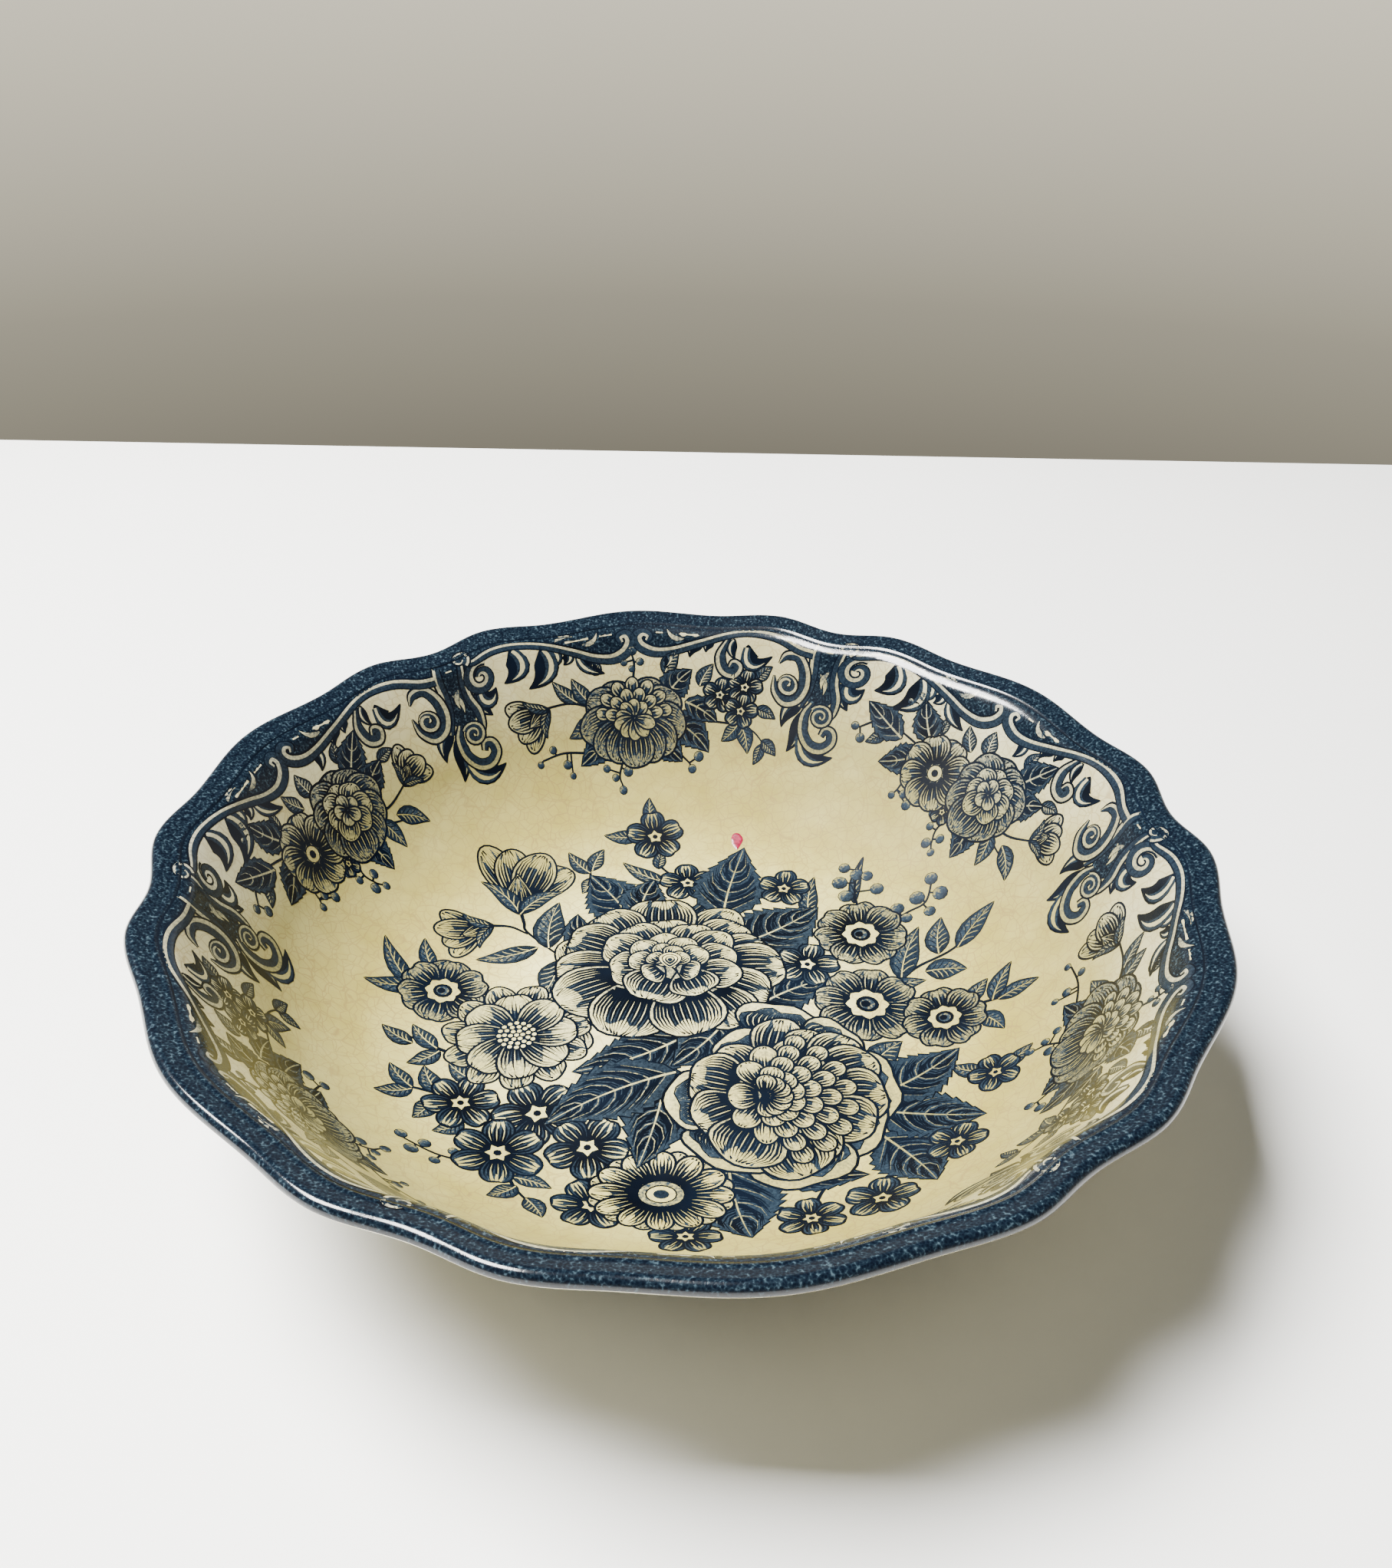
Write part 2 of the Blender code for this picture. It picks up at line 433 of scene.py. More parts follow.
def petal(art, dice, base, tip, half_width, form=petal_form, bend=0.0, frill=0.02, notch=0.0, tone=0.85,
          cover=0.0, reach=0.7, pitch=0.92, weight=0.5, line=0.34, lip=0.0, body=0.36):
    """Engraved petal: dark towards its foot and its sides, pale towards its end.

    cover is the share of the petal that the petals above hide, reach the share that is shaded, lip the share
    that turns over at the end as a pale border, and body the ink all over.
    """
    blade = Blade(base, tip, half_width, form, bend)
    waves = 6 + dice.random() * 3
    run = tip - base
    fade = (base, tip, 1.1 * body * body)
    art.cell(blade.outline(14, frill, waves, notch), body, fade, line * OUTLINE_GAIN)
    if lip:
        inside_tip = base + run * (1 - lip)
        blade = Blade(base, inside_tip, half_width * (1 - 0.75 * lip), form, bend)
        art.cell(blade.outline(14, frill * 2, waves + 2), tone, (base, inside_tip, tone * 0.6), line=0.3)
    if tone and not lip:
        sides = [-0.95 + 1.9 * i / 10 for i in range(11)]
        ends = [cover + (reach - cover) * (0.5 + 0.5 * v * v + 0.16 * dice.random()) for v in sides]
        shadow = [blade.at(min(u, 0.96), v) for u, v in zip(ends, sides)]
        shadow += [blade.at(cover * 0.7 + 0.03, v) for v in sides[::-1]]
        art.fill(shadow, tone, (base + run * cover, base + run * reach, tone * 0.5))
    weight *= HATCH_GAIN
    count = max(3, round(2 * half_width / pitch))
    for i in range(count):
        v = ((i + 0.5) / count * 2 - 1) * 0.93
        end = cover + (reach - cover) * (0.84 + 0.5 * v * v) * (0.8 + 0.5 * dice.random())
        end = min(end, 0.93)
        start = cover * 0.8 + 0.04
        path = [blade.at(start + (end - start) * k / 4, v) for k in range(5)]
        art.stroke(path, (weight, weight * 0.9, 0.0), 1.0)
        if i % 2 and tone > 0.5:
            v += 0.9 / count
            path = [blade.at(start + (end - start) * (0.2 + 0.6 * k / 3), v * 0.97) for k in range(4)]
            art.stroke(path, (0.0, weight * 0.5, 0.0), 0.12)
    for i in range(count // 2):
        v = ((i + 0.5) / (count // 2) * 2 - 1) * 0.8
        start = 0.985 - 0.1 * v * v
        if lip or dice.random() < 0.35:
            continue
        path = [blade.at(start - (0.05 + 0.09 * dice.random()) * k / 2, v) for k in range(3)]
        art.stroke(path, (weight * 0.8, weight * 0.5, 0.0))


def sprig_leaf(art, base, tip, half_width, bend=0.12, dark=0.9):
    """Small leaf, one half dark and the other half light, with a pale rib."""
    blade = Blade(base, tip, half_width, leaf_form, bend)
    art.cell(blade.outline(9), dark, (base, tip, 0.75), line=0.3)
    half = [blade.at(i / 8, 0.08) for i in range(1, 8)]
    half += [blade.at(i / 8, 0.72) for i in range(7, 0, -1)]
    art.fill(half, 0.66, (base, tip, 0.4))
    for u in (0.2, 0.34, 0.48, 0.62, 0.76):
        for side in (1, -1):
            path = [blade.at(u + step, v * side) for step, v in ((-0.06, 0.1), (0.03, 0.45), (0.09, 0.85))]
            art.stroke(path, (0.24, 0.3, 0.1), 1.0 if side > 0 else 0.25)
    rib = 0.0 if half_width > 1.9 else 1.0
    art.stroke([blade.at(i / 6, 0.0) for i in range(7)], (0.36, 0.28, 0.1), rib)


def rose_leaf(art, dice, base, tip, half_width, bend=0.1, teeth=9, lit=1):
    """Large saw-edged leaf, engraved along its veins, darker on one half."""
    blade = Blade(base, tip, half_width, leaf_form, bend)
    art.cell(blade.outline(teeth=teeth, bite=0.085), 0.78, (base, tip, 0.62), line=0.42)
    ribs = max(3, int(abs(tip - base) / 5.2))
    gap = 0.76 / ribs

    def vein(side, start, near, far):
        """Path that leaves the middle rib and bends towards the tip."""
        path = []
        for t in (0, 0.3, 0.65, 1):
            path.append(blade.at(min(start + 0.2 * t * t + 0.05 * t, 0.97), side * (near + (far - near) * t)))
        return path

    for side in (-1, 1):
        for i in range(ribs):
            u = 0.07 + gap * i
            dark = 0.55 if side == lit else 0.8
            lower, upper = (vein(side, u + gap * share, 0.03, dark) for share in (0.04, 0.4))
            art.fill(lower + upper[::-1], 1.0)
            for k in range(4):
                start, stop = 0.05 + 0.08 * dice.random(), 0.95 - 0.25 * dice.random()
                art.stroke(vein(side, u + gap * (0.36 + 0.17 * k), start, stop), (0.5, 0.46, 0.12), 1.0)
            art.stroke(vein(side, u, 0.04, 0.8), (0.3, 0.2, 0.04), 0.35)
    art.stroke([blade.at(i / 9 * 0.97, 0.0) for i in range(10)], (0.6, 0.4, 0.12), 0.2)


def berry(art, centre, radius, light):
    """Round berry, light on one side; light is in degrees."""
    toward = radius * turn(light)
    art.cell(circle(centre, radius, 10), 0.95, (centre - toward, centre + toward, 0.25), line=0.2)


def berry_spray(art, stem, berries, radius):
    """Thin stem with berries on short stalks."""
    path = curve(stem)
    art.stroke(path, (0.75, 0.65, 0.55))
    for place in berries:
        near = min(path, key=lambda p: abs(p - place))
        art.stroke([near, (near + place) / 2, place], (0.6, 0.55, 0.5))
    for i, place in enumerate(berries):
        berry(art, place, radius * (0.85 + 0.15 * (i % 3)), 100 + 40 * (i % 2))


def small_flower(art, dice, centre, radius, spin=90.0, petals=5, tone=0.95):
    """Small dark flower of rounded petals with a pale star in the middle."""
    for i in range(petals):
        way = turn(spin + 360 * i / petals)
        half = radius * 1.9 / petals
        petal(art, dice, centre + way * radius * 0.1, centre + way * radius, half, frill=0.03, notch=0.06,
              tone=tone, cover=0.1, reach=1.0, pitch=0.95, weight=0.4, line=0.34, body=0.8)
        blade = Blade(centre, centre + way * radius, half, petal_form)
        for shine in (-0.35, 0.05, 0.45):
            path = [blade.at(0.93 - (0.2 + 0.25 * dice.random()) * k / 3, shine) for k in range(4)]
            art.stroke(path, (radius * 0.07, radius * 0.06, 0.0), 0.1)
    star = []
    for i in range(petals * 2):
        reach = radius * (0.27 if i % 2 else 0.17)
        star.append(centre + reach * turn(spin + 180 + 180 * i / petals))
    art.cell(star, 0.0, line=0.24)
    art.fill(circle(centre, radius * 0.08 + 0.12, 7), 1.0)


def ring_flower(art, dice, centre, radius, spin=90.0, petals=7):
    """Flower of notched petals about a pale scalloped ring."""
    for i in range(petals):
        way = turn(spin + 360 * i / petals)
        half = radius * 2.75 / petals
        petal(art, dice, centre + way * radius * 0.2, centre + way * radius, half, frill=0.03, notch=0.09,
              tone=1.0, cover=0.12, reach=1.0, pitch=1.0, weight=0.48, line=0.38, body=0.5)
    ring = []
    for i in range(32):
        reach = radius * (0.37 + 0.035 * math.cos(8 * math.tau * i / 32))
        ring.append(centre + reach * turn(360 * i / 32))
    art.cell(ring, 0.0, line=0.34)
    art.cell(circle(centre, radius * 0.21), 1.0, line=0.1)
    art.fill(circle(centre, radius * 0.14), 0.5)
    art.fill(circle(centre - 0.03 * radius, radius * 0.09), 1.0)


def daisy(art, dice, centre, radius):
    """White flower of eight broad petals over dark sepals, with a raised boss of dots."""
    for i in range(11):
        way = turn(15 + 360 * i / 11)
        petal(art, dice, centre + way * radius * 0.5, centre + way * radius * 1.2, radius * 0.25, tone=1.0,
              reach=1.3, pitch=0.9, frill=0.04)
    for i in range(8):
        way = turn(100 + 45 * i)
        petal(art, dice, centre, centre + way * radius, radius * 0.335, frill=0.012, notch=0.05, tone=0.8,
              cover=0.2, reach=0.85, pitch=0.95, weight=0.46, line=0.4)
    art.fill(circle(centre, radius * 0.34, 20), 1.0)
    for ring, count in ((0.0, 1), (0.1, 6), (0.195, 11), (0.285, 16)):
        for i in range(count):
            place = centre + radius * ring * turn(360 * i / count + 100 * ring)
            art.fill(circle(place, radius * 0.04, 8), 0.0)


def aster(art, dice, centre, radius):
    """Flower of narrow petals about an oval ring."""
    petals, squash = 12, 0.78
    for row, share in ((1, 1.0), (0, 0.98)):
        for i in range(petals):
            way = turn(360 * (i + row / 2) / petals)
            way = complex(way.real, way.imag * squash)
            petal(art, dice, centre + way * radius * 0.2, centre + way * radius * share, radius * 0.165,
                  form=strap_form, frill=0.0, tone=1.0, cover=0.15, reach=0.9 + 0.2 * row, pitch=0.85,
                  weight=0.44, line=0.38, body=0.3 * row)
    art.cell(circle(centre, radius * 0.31, 20, squash), 0.35, line=0.34)
    art.cell(circle(centre, radius * 0.2, 16, squash), 0.0, line=0.34)
    art.fill(circle(centre, radius * 0.11, 12, squash), 0.85)


def lily_bud(art, dice, base, tip, radius):
    """Half-open tulip-like flower: upright petals out of a dark cup."""
    run = tip - base
    side = 1j * run / abs(run)
    petals = ((1.2, 0.92, 0.36), (-1.2, 0.82, 0.36), (0.55, 1.02, 0.38), (-0.45, 1.04, 0.42))
    for aside, height, half in petals:
        petal(art, dice, base + run * 0.08, base + run * height + side * radius * aside * 0.8, radius * half,
              bend=-0.14 * aside, frill=0.03, tone=0.95, cover=0.25, reach=1.0, pitch=0.9, weight=0.46,
              line=0.36, body=0.3)
    petal(art, dice, base, base + run * 0.64 + side * radius * 0.15, radius * 0.27, form=leaf_form, tone=0.8,
          reach=0.95, pitch=0.75)
    for aside in (0.85, -0.8):
        end = base + run * 0.42 + side * radius * aside
        sprig_leaf(art, base - run * 0.05, end, radius * 0.19, -0.3 * aside, 1.0)


def arranged(art, dice, petals, **looks):
    """Petals given one by one, back to front, as (foot, tip, half width, share hidden)."""
    for foot, tip, half, cover in petals:
        petal(art, dice, foot, tip, half, bend=0.1 * (dice.random() - 0.5), cover=cover, **looks)


def open_peony(art, dice):
    """Large open peony: wide outer petals, a cup of smaller ones and a rolled heart."""
    arranged(art, dice, [
        (-18+12j, -31+24j, 6.5, 0.3), (2+24j, 13+38.5j, 7.0, 0.3), (-9+26j, -15.5+38j, 5.5, 0.2),
    ], tone=0.9, reach=1.1, frill=0.03)
    arranged(art, dice, [
        (-5+22j, -6+43.5j, 9.2, 0.45), (-13+22j, -22+36.5j, 8.6, 0.35), (-13+19j, -30+26j, 8.8, 0.4),
        (3+20j, 15.5+33j, 7.4, 0.4), (5+17j, 22+25.5j, 7.0, 0.45), (4+15j, 26.5+16.5j, 9.0, 0.45),
        (2+13j, 22+3.5j, 9.0, 0.35), (-10+14j, -33+12j, 8.8, 0.3), (-10+13j, -31+1j, 9.5, 0.3),
        (4+9j, 15-5.5j, 8.0, 0.3), (-9+12j, -15.5-10.5j, 10.0, 0.35), (-2+11j, 3.5-9.5j, 9.5, 0.35),
    ], tone=1.0, reach=1.06, frill=0.025, notch=0.035, line=0.42, pitch=1.0)
    arranged(art, dice, [
        (-5+20j, -5+34.3j, 7.6, 0.35), (-7+19j, -13.5+32j, 6.0, 0.35), (-1+19j, 4+32.5j, 6.0, 0.35),
        (1+18j, 11+29j, 5.6, 0.35), (-8+17j, -20+25j, 6.4, 0.3), (2+16j, 13+21.5j, 6.0, 0.3),
        (-8+15j, -18.5+14.5j, 6.5, 0.25), (1+13j, 14.5+13.5j, 5.6, 0.25), (-3+15j, -9+3j, 8.6, 0.35),
        (0+15j, 4.5+5.5j, 6.4, 0.35),
    ], tone=1.0, reach=1.04, frill=0.035, line=0.4, pitch=0.95, weight=0.46)
    arranged(art, dice, [
        (-4.5+18j, -5.5+28.5j, 4.6, 0.3), (-6+17.5j, -12+25j, 4.0, 0.25), (-3+17.5j, 1+27j, 4.0, 0.25),
        (-2+16.5j, 5.5+22.5j, 4.0, 0.25), (-7+16j, -13.5+19j, 3.6, 0.2), (-5+15j, -9.5+11.5j, 3.8, 0.2),
        (-1.5+15j, 4+13.5j, 3.8, 0.2),
    ], tone=0.9, reach=0.86, frill=0.02, pitch=0.8, weight=0.42, line=0.36)
    arranged(art, dice, [
        (-4+18j, -6.5+24.3j, 2.6, 0.2), (-3.5+18j, -2+23.6j, 2.6, 0.2), (-3+17j, 1+20.5j, 2.5, 0.2),
        (-5.5+17j, -8.6+20j, 2.5, 0.2),
    ], tone=0.9, reach=0.9, frill=0.0, pitch=0.75, weight=0.38)
    heart = -3.4+18.4j
    for size in (3.3, 2.2, 1.1):
        roll = Blade(heart - 1j * size, heart + 1j * size * 0.8, size * 0.85, petal_form)
        shade = Blade(heart - 1j * size * 0.9, heart + 1j * size * 0.45, size * 0.62, petal_form)
        art.cell(roll.outline(12), 0.0, line=0.3)
        art.fill(shade.outline(10), 0.85)


def full_peony(art, dice):
    """Large double peony: turned-over outer petals and a fan of overlapping small ones."""
    arranged(art, dice, [
        (22-12j, 25+1.5j, 10.5, 0.3), (30-16j, 41-7.5j, 9.0, 0.3), (34-26j, 50.5-25j, 11.5, 0.4),
        (30-34j, 44.5-42.5j, 10.5, 0.4), (24-38j, 29-56j, 12.0, 0.4), (14-38j, 8.5-50j, 10.5, 0.4),
        (12-30j, -3-31j, 9.0, 0.4), (18-22j, 13.5-8j, 8.0, 0.4),
    ], tone=1.0, reach=1.0, frill=0.035, line=0.44, lip=0.16)
    arranged(art, dice, [
        (20-20j, 24.5-3.5j, 6.2, 0.35), (24-19j, 32-7.5j, 4.6, 0.35), (30-22j, 40.5-9.5j, 6.4, 0.45),
        (30-24j, 46-17j, 7.2, 0.45), (17-24j, 9.5-14.5j, 6.4, 0.35), (32-28j, 47.5-28j, 8.6, 0.4),
        (17-27j, 2.5-23j, 8.8, 0.3), (30-32j, 44-38j, 7.4, 0.35), (17-31j, 4-38j, 8.4, 0.3),
        (24-37j, 35-46j, 6.0, 0.4), (22-36j, 28-53j, 8.4, 0.4), (19-34j, 12.5-49j, 9.0, 0.35),
    ], tone=1.0, reach=1.06, frill=0.025, line=0.42, pitch=1.0)
    arranged(art, dice, [
        (21-23j, 26.5-11j, 3.0, 0.2), (20-24j, 20-13j, 3.4, 0.2), (19-26j, 15-18.5j, 3.2, 0.15),
        (20-33j, 19.5-43.5j, 2.8, 0.15), (19-31j, 13.5-38.5j, 3.2, 0.15), (19-29j, 11.2-29.5j, 3.9, 0.1),
    ], tone=0.8, reach=0.78, frill=0.0, line=0.36, pitch=0.85, weight=0.44)
    focus = 19.5-29j
    rows = ((21.5, 8, 2.3, 66), (17.6, 7, 2.4, 66), (13.4, 6, 2.5, 66), (9.4, 6, 2.7, 74), (6.4, 7, 2.2, 84))
    for reach, count, half, spread in rows:
        for i in range(count):
            way = turn(-spread + 2 * spread * i / (count - 1))
            start = focus + way * max(0.0, reach - 7.5)
            petal(art, dice, start, focus + way * reach, half, form=strap_form, frill=0.0, tone=1.0,
                  cover=0.2, reach=1.0, pitch=0.95, weight=0.4, line=0.36)
    art.fill(Blade(focus - 4.5j, focus + 5.5j, 0.9, leaf_form).outline(8), 1.0)


def greenery(art, dice, stems, leaves, berries, blooms):
    """Stems as (widths, points), small leaves, berry sprays, then flowers and large leaves, back to front."""
    for widths, points in stems:
        art.stroke(curve(points), widths)
    for leaf in leaves:
        sprig_leaf(art, *leaf)
    for spray in berries:
        berry_spray(art, *spray)
    for draw, *measures in blooms:
        draw(art, dice, *measures)


def rosette(heart, cover, petals):
    """Petals about a point for arranged, from their (degrees, length, half width)."""
    return [(heart, heart + length * turn(degrees), half, cover) for degrees, length, half in petals]


def garden(art, dice):
    """Bouquet of the well, about the middle of the bowl, from the back layer to the front."""
    stems = (
        (-44+37j, -42.5+32j, -41+28j, -31+18j), (-52+30j, -46+30.3j, -41+27.5j),
        (-53-18j, -62-14.5j, -69-13j), (-50-32j, -61-31j, -66-33j), (-9+66j, -7+58j, -1+52j),
        (-23+47j, -26+52j, -27+57j), (50+6j, 59.3+15.5j, 70+20j, 80+27j), (70-1j, 78-1.5j, 84-2j),
        (-36.5-55j, -34-60j, -31-64j), (66-22j, 73-27j), (28-66j, 31-58j, 36-52j),
    )
    leaves = (
        (-35+22j, -34+41j, 4.2), (-38+22j, -53+16.7j, 3.0), (-32+17j, -35+3.3j, 4.2),
        (-67+4j, -77+17.6j, 2.6), (-66+5j, -79+1.2j, 2.6), (-63+11j, -67+21j, 2.1),
        (-63.7-15.7j, -71.5-12.3j, 2.4), (-57.7-16.2j, -64.5-9.5j, 2.4), (-57-17j, -63.5-23j, 2.3),
        (-61-31j, -67.3-24.7j, 2.3), (-61-31.5j, -69-35.5j, 2.3), (-55-31j, -59.5-23j, 2.6),
        (-56-34j, -59-41.5j, 2.5), (-48-40j, -54-44.5j, 2.4), (-35-56j, -26.7-58.4j, 2.1),
        (-31.5-63j, -27.6-69.4j, 2.4), (-34-59j, -39.5-64.5j, 2.4), (-10+74j, -11.2+81.5j, 2.0),
        (-13.7+69j, -23.4+68j, 2.3), (-26.5+54j, -33+60.5j, 2.3), (-26+55j, -23.4+63j, 2.2),
        (-26+52j, -28+45.5j, 2.1), (-5+51j, -17.5+58.7j, 2.5), (-7.5+57j, -6.5+64j, 1.8),
        (33.5+37.5j, 35.8+52.8j, 2.6), (55.5+12j, 62+30j, 3.6), (66+19.5j, 68.3+31.3j, 3.2),
        (71+20j, 83+30j, 3.0), (62+14j, 72+12j, 3.6), (50+8j, 61.4+10.8j, 2.6), (71+0j, 76.5+6.2j, 2.2),
        (76.5-1.5j, 83.3+8.6j, 2.4), (78-1.8j, 88.9-1.1j, 2.3), (73-5j, 77.5-12.5j, 2.6),
        (70-25j, 63.5-20.5j, 2.4), (76-27j, 83-22.5j, 2.1), (45-19j, 53-10.5j, 3.6),
        (46+42j, 50+57.5j, 1.5), (-25-36j, -19-30j, 3.2), (-47-26j, -54-21j, 2.4),
    )
    berries = (
        ([47+38j, 46.5+46j, 47.5+52j, 49+56j],
         [44.4+54.9j, 47.6+52j, 42.7+49.9j, 50.4+51j, 52.6+46j, 44+44.8j], 1.8),
        ([54+33j, 60+36j, 65+38j, 67.7+44j],
         [59.3+34j, 57.3+37.8j, 63+40j, 65.7+34.6j, 67.7+45j, 69.4+39.5j], 1.8),
        ([-42.5-52.4j, -51-53j, -59.5-50.4j], [-52-55.5j, -55-50j, -57.5-53.5j, -48.5-50.5j, -60.5-49j], 1.4),
    )
    blooms = (
        (small_flower, 43-64j, 8, 80), (small_flower, 28-68j, 7.5, 95, 6),
        (rose_leaf, 45-41j, 55-62j, 8.5, 0.12, 9, -1), (rose_leaf, 44-33j, 68.5-41.2j, 8.0, 0.08),
        (rose_leaf, 46-28j, 66-15j, 7.4, -0.05), (small_flower, 61-48.4j, 7, 60),
        (small_flower, 73-27j, 6.4, 100), (rose_leaf, -14+34j, -26.5+53j, 8.6, -0.08, 9, -1),
        (rose_leaf, -12+36j, -8.5+52j, 6.4, 0.1), (rose_leaf, -24+22j, -28.5+36j, 4.4, 0.2, 6),
        (small_flower, -9+69j, 8.2, 100), (small_flower, 0.7+51j, 7.8, 95),
        (rose_leaf, 6+44j, 9+33j, 6.5, 0.1, 7), (rose_leaf, 10.3+36j, 16.5+65j, 9.8, 0.06),
        (small_flower, 27.2+49j, 7.0, 80), (rose_leaf, 13+24j, 36+41j, 10.0, -0.08, 9, -1),
        (rose_leaf, 19+1.5j, 37+12j, 6.6, 0.1, 8), (ring_flower, 46.7+29.8j, 12.2, 90),
        (small_flower, 31.9+17.4j, 8.2, 75), (ring_flower, 46+2.7j, 13.4, 80, 8),
        (ring_flower, 64.3-3.3j, 10.4, 95), (ring_flower, -59.6+4.1j, 11.0, 85, 6),
        (small_flower, -49.5-33.5j, 8.8, 75, 6), (small_flower, -31.9-35.7j, 10.2, 120),
        (small_flower, -39.2-48.5j, 10.6, 95, 6), (small_flower, -19.9-45.5j, 9.4, 60),
        (lily_bud, -44+36.5j, -44.5+57.5j, 13.5), (lily_bud, -51+30j, -63+23.5j, 8.0),
        (rose_leaf, 11-50j, 15.5-74j, 10.5, -0.05, 10), (rose_leaf, 22-55j, 41-54j, 4.2, 0.1, 6),
        (small_flower, -17.7-63j, 8.6, 60, 6), (small_flower, 2-73j, 7.5, 60, 6), (aster, -3.3-58.5j, 15.6),
        (rose_leaf, -3-20j, -8.7-51j, 8.8, 0.06, 9, -1), (rose_leaf, 2-9j, -25-22.5j, 8.2, 0.12, 9, 1),
        (rose_leaf, -1-22j, -30-39j, 8.8, -0.1), (rose_leaf, 12-2j, -2-20j, 7.5, 0.1, 6),
    )
    greenery(art, dice, [((1.1, 0.8, 0.6), stem) for stem in stems], leaves, berries, blooms)
    petal(art, dice, -26-6j, -24-16j, 3.4, tone=0.3)
    daisy(art, dice, -39.5-10.6j, 14.8)
    open_peony(art, dice)
    full_peony(art, dice)


# ---------------------------------------------------------------- border drawing


def ribbon(art, path, widths, shade):
    """Pale scroll band with a dark edge and a shaded side; shade is the side, 1 for left and -1 for right."""
    widths = [w * RIBBON_GAIN for w in widths]
    art.stroke(path, [w + 1.15 if w > 0.3 else w + 0.4 for w in widths])
    art.stroke(path, widths, 0.2)
    inner = []
    for i, point in enumerate(path):
        width = width_at(widths, i / (len(path) - 1))
        inner.append(point + left_of(path, i) * width * 0.27 * shade)
    art.stroke(inner, [w * 0.7 for w in widths], 0.8)


def horn(art, base, tip, half_width, bend):
    """Acanthus tip: a bent dark blade with a pale streak."""
    half_width *= HORN_GAIN
    blade = Blade(base, tip, half_width, leaf_form, bend)
    art.cell(blade.outline(12), 1.0, line=0.24)
    side = 0.42 if bend > 0 else -0.42
    streak = [blade.at(0.04 + 0.8 * k / 8, side) for k in range(9)]
    art.stroke(streak, (half_width * 0.8, half_width * 1.1, half_width * 0.8, 0.0), 0.75)
    art.stroke(streak, (half_width * 0.3, half_width * 0.42, 0.0), 0.06)


def scroll_right(art):
    """Scrollwork from a junction at x = 0 to the middle of the sector; y = 0 is 130 mm along the inside."""
    for blade in (
        (36.5-3j, 43.3-9.8j, 1.5, -0.25), (33.5-2j, 32.4-5.4j, 1.2, 0.5), (29.6-0.4j, 27.4-5.4j, 1.6, 0.6),
        (27+0.2j, 21.6-11j, 2.5, 0.5), (18.8+0.6j, 15.2-8.2j, 2.4, 0.62), (5.2-8j, 9.2-15.4j, 1.7, -0.12),
        (7.6-8.2j, 12.4-8.6j, 2.2, -1.0),
    ):
        horn(art, *blade)
    ribbon(art, curve([4.6+2j, 3.8-2.5j, 3.9-8j, 5.5-13j, 5.5-17j, 4.5-20.4j]),
           (1.0, 1.5, 1.7, 1.8, 1.3, 0.2), -1)
    ribbon(art, curl(9.2-4.3j, 4.5, 0.9, 60, 450, 26), (1.2, 2.2, 2.1, 1.6, 0.7), -1)
    stem = [6.6+1.1j, 8.6+0.5j, 14+1.4j, 21+1.7j, 28+0.8j, 35-2.0j, 41-4.9j, 46-5.9j, 49.6-4.4j,
            51.2-1.6j, 50.2+0.5j, 48.4-0.1j, 48.9-1.7j]
    ribbon(art, curve(stem), (0.9, 1.4, 1.4, 1.5, 1.7, 2.3, 2.2, 1.6, 0.9), -1)
    ribbon(art, curl(5.1+3j, 2.2, 0.6, -70, 400, 16), (1.5, 1.3, 0.7), 1)


def scroll_left(art):
    """Scrollwork on the other side of the junction: the large open C and its leaves."""
    for blade in (
        (-21.6-1.8j, -14.8-4.6j, 1.9, -1.15), (-25.4+0j, -24.9-5.8j, 1.0, -0.3),
        (-31-0.2j, -33-3.8j, 1.0, -0.3), (-33.5-0.8j, -37.4-5.6j, 1.3, -0.35),
        (-43.5-3.6j, -44.6-9.4j, 1.2, 0.3),
    ):
        horn(art, *blade)
    ribbon(art, curve([-27+0.4j, -29-4.5j, -28-8.8j, -25-10.2j, -23.7-8.2j, -25.2-6.8j, -26.2-8.2j]),
           (0.5, 2.0, 2.2, 2.0, 1.4, 0.6), 1)
    horn(art, -3.6-15j, -9-23.8j, 1.8, -0.3)
    horn(art, -3.4-18j, -6-30.6j, 2.0, 0.15)
    ribbon(art, curve([-2.2+3.2j, -3-1j, -2.7-7j, -3.2-12j, -4.6-17j]), (1.2, 1.8, 1.7, 1.6, 0.8), 1)
    ribbon(art, curve([-12.6-6j, -10.8-3.4j, -7.4-2.9j, -5-6.4j, -4.5-11j, -6.2-15j, -9.6-16.4j, -12.6-13.8j,
                       -13.5-9.6j]), (0.2, 1.5, 2.1, 2.3, 2.5, 2.6, 2.4, 1.6, 0.2), -1)
    ribbon(art, curl(-9.3-11.6j, 2.7, 1.1, 170, -470, 22), (0.2, 1.0, 1.8, 2.0, 1.2), -1)
    stem = [-3.6-0.6j, -8-0.6j, -14+1j, -22+2j, -28+1.2j, -35-1.4j, -42-4j, -47-4.6j, -50.6-3j,
            -51.6-0.6j, -50.1+0.8j, -48.4-0.1j, -49-1.5j]
    ribbon(art, curve(stem), (1.9, 1.9, 1.5, 1.5, 1.7, 2.2, 2.1, 1.5, 0.8), 1)


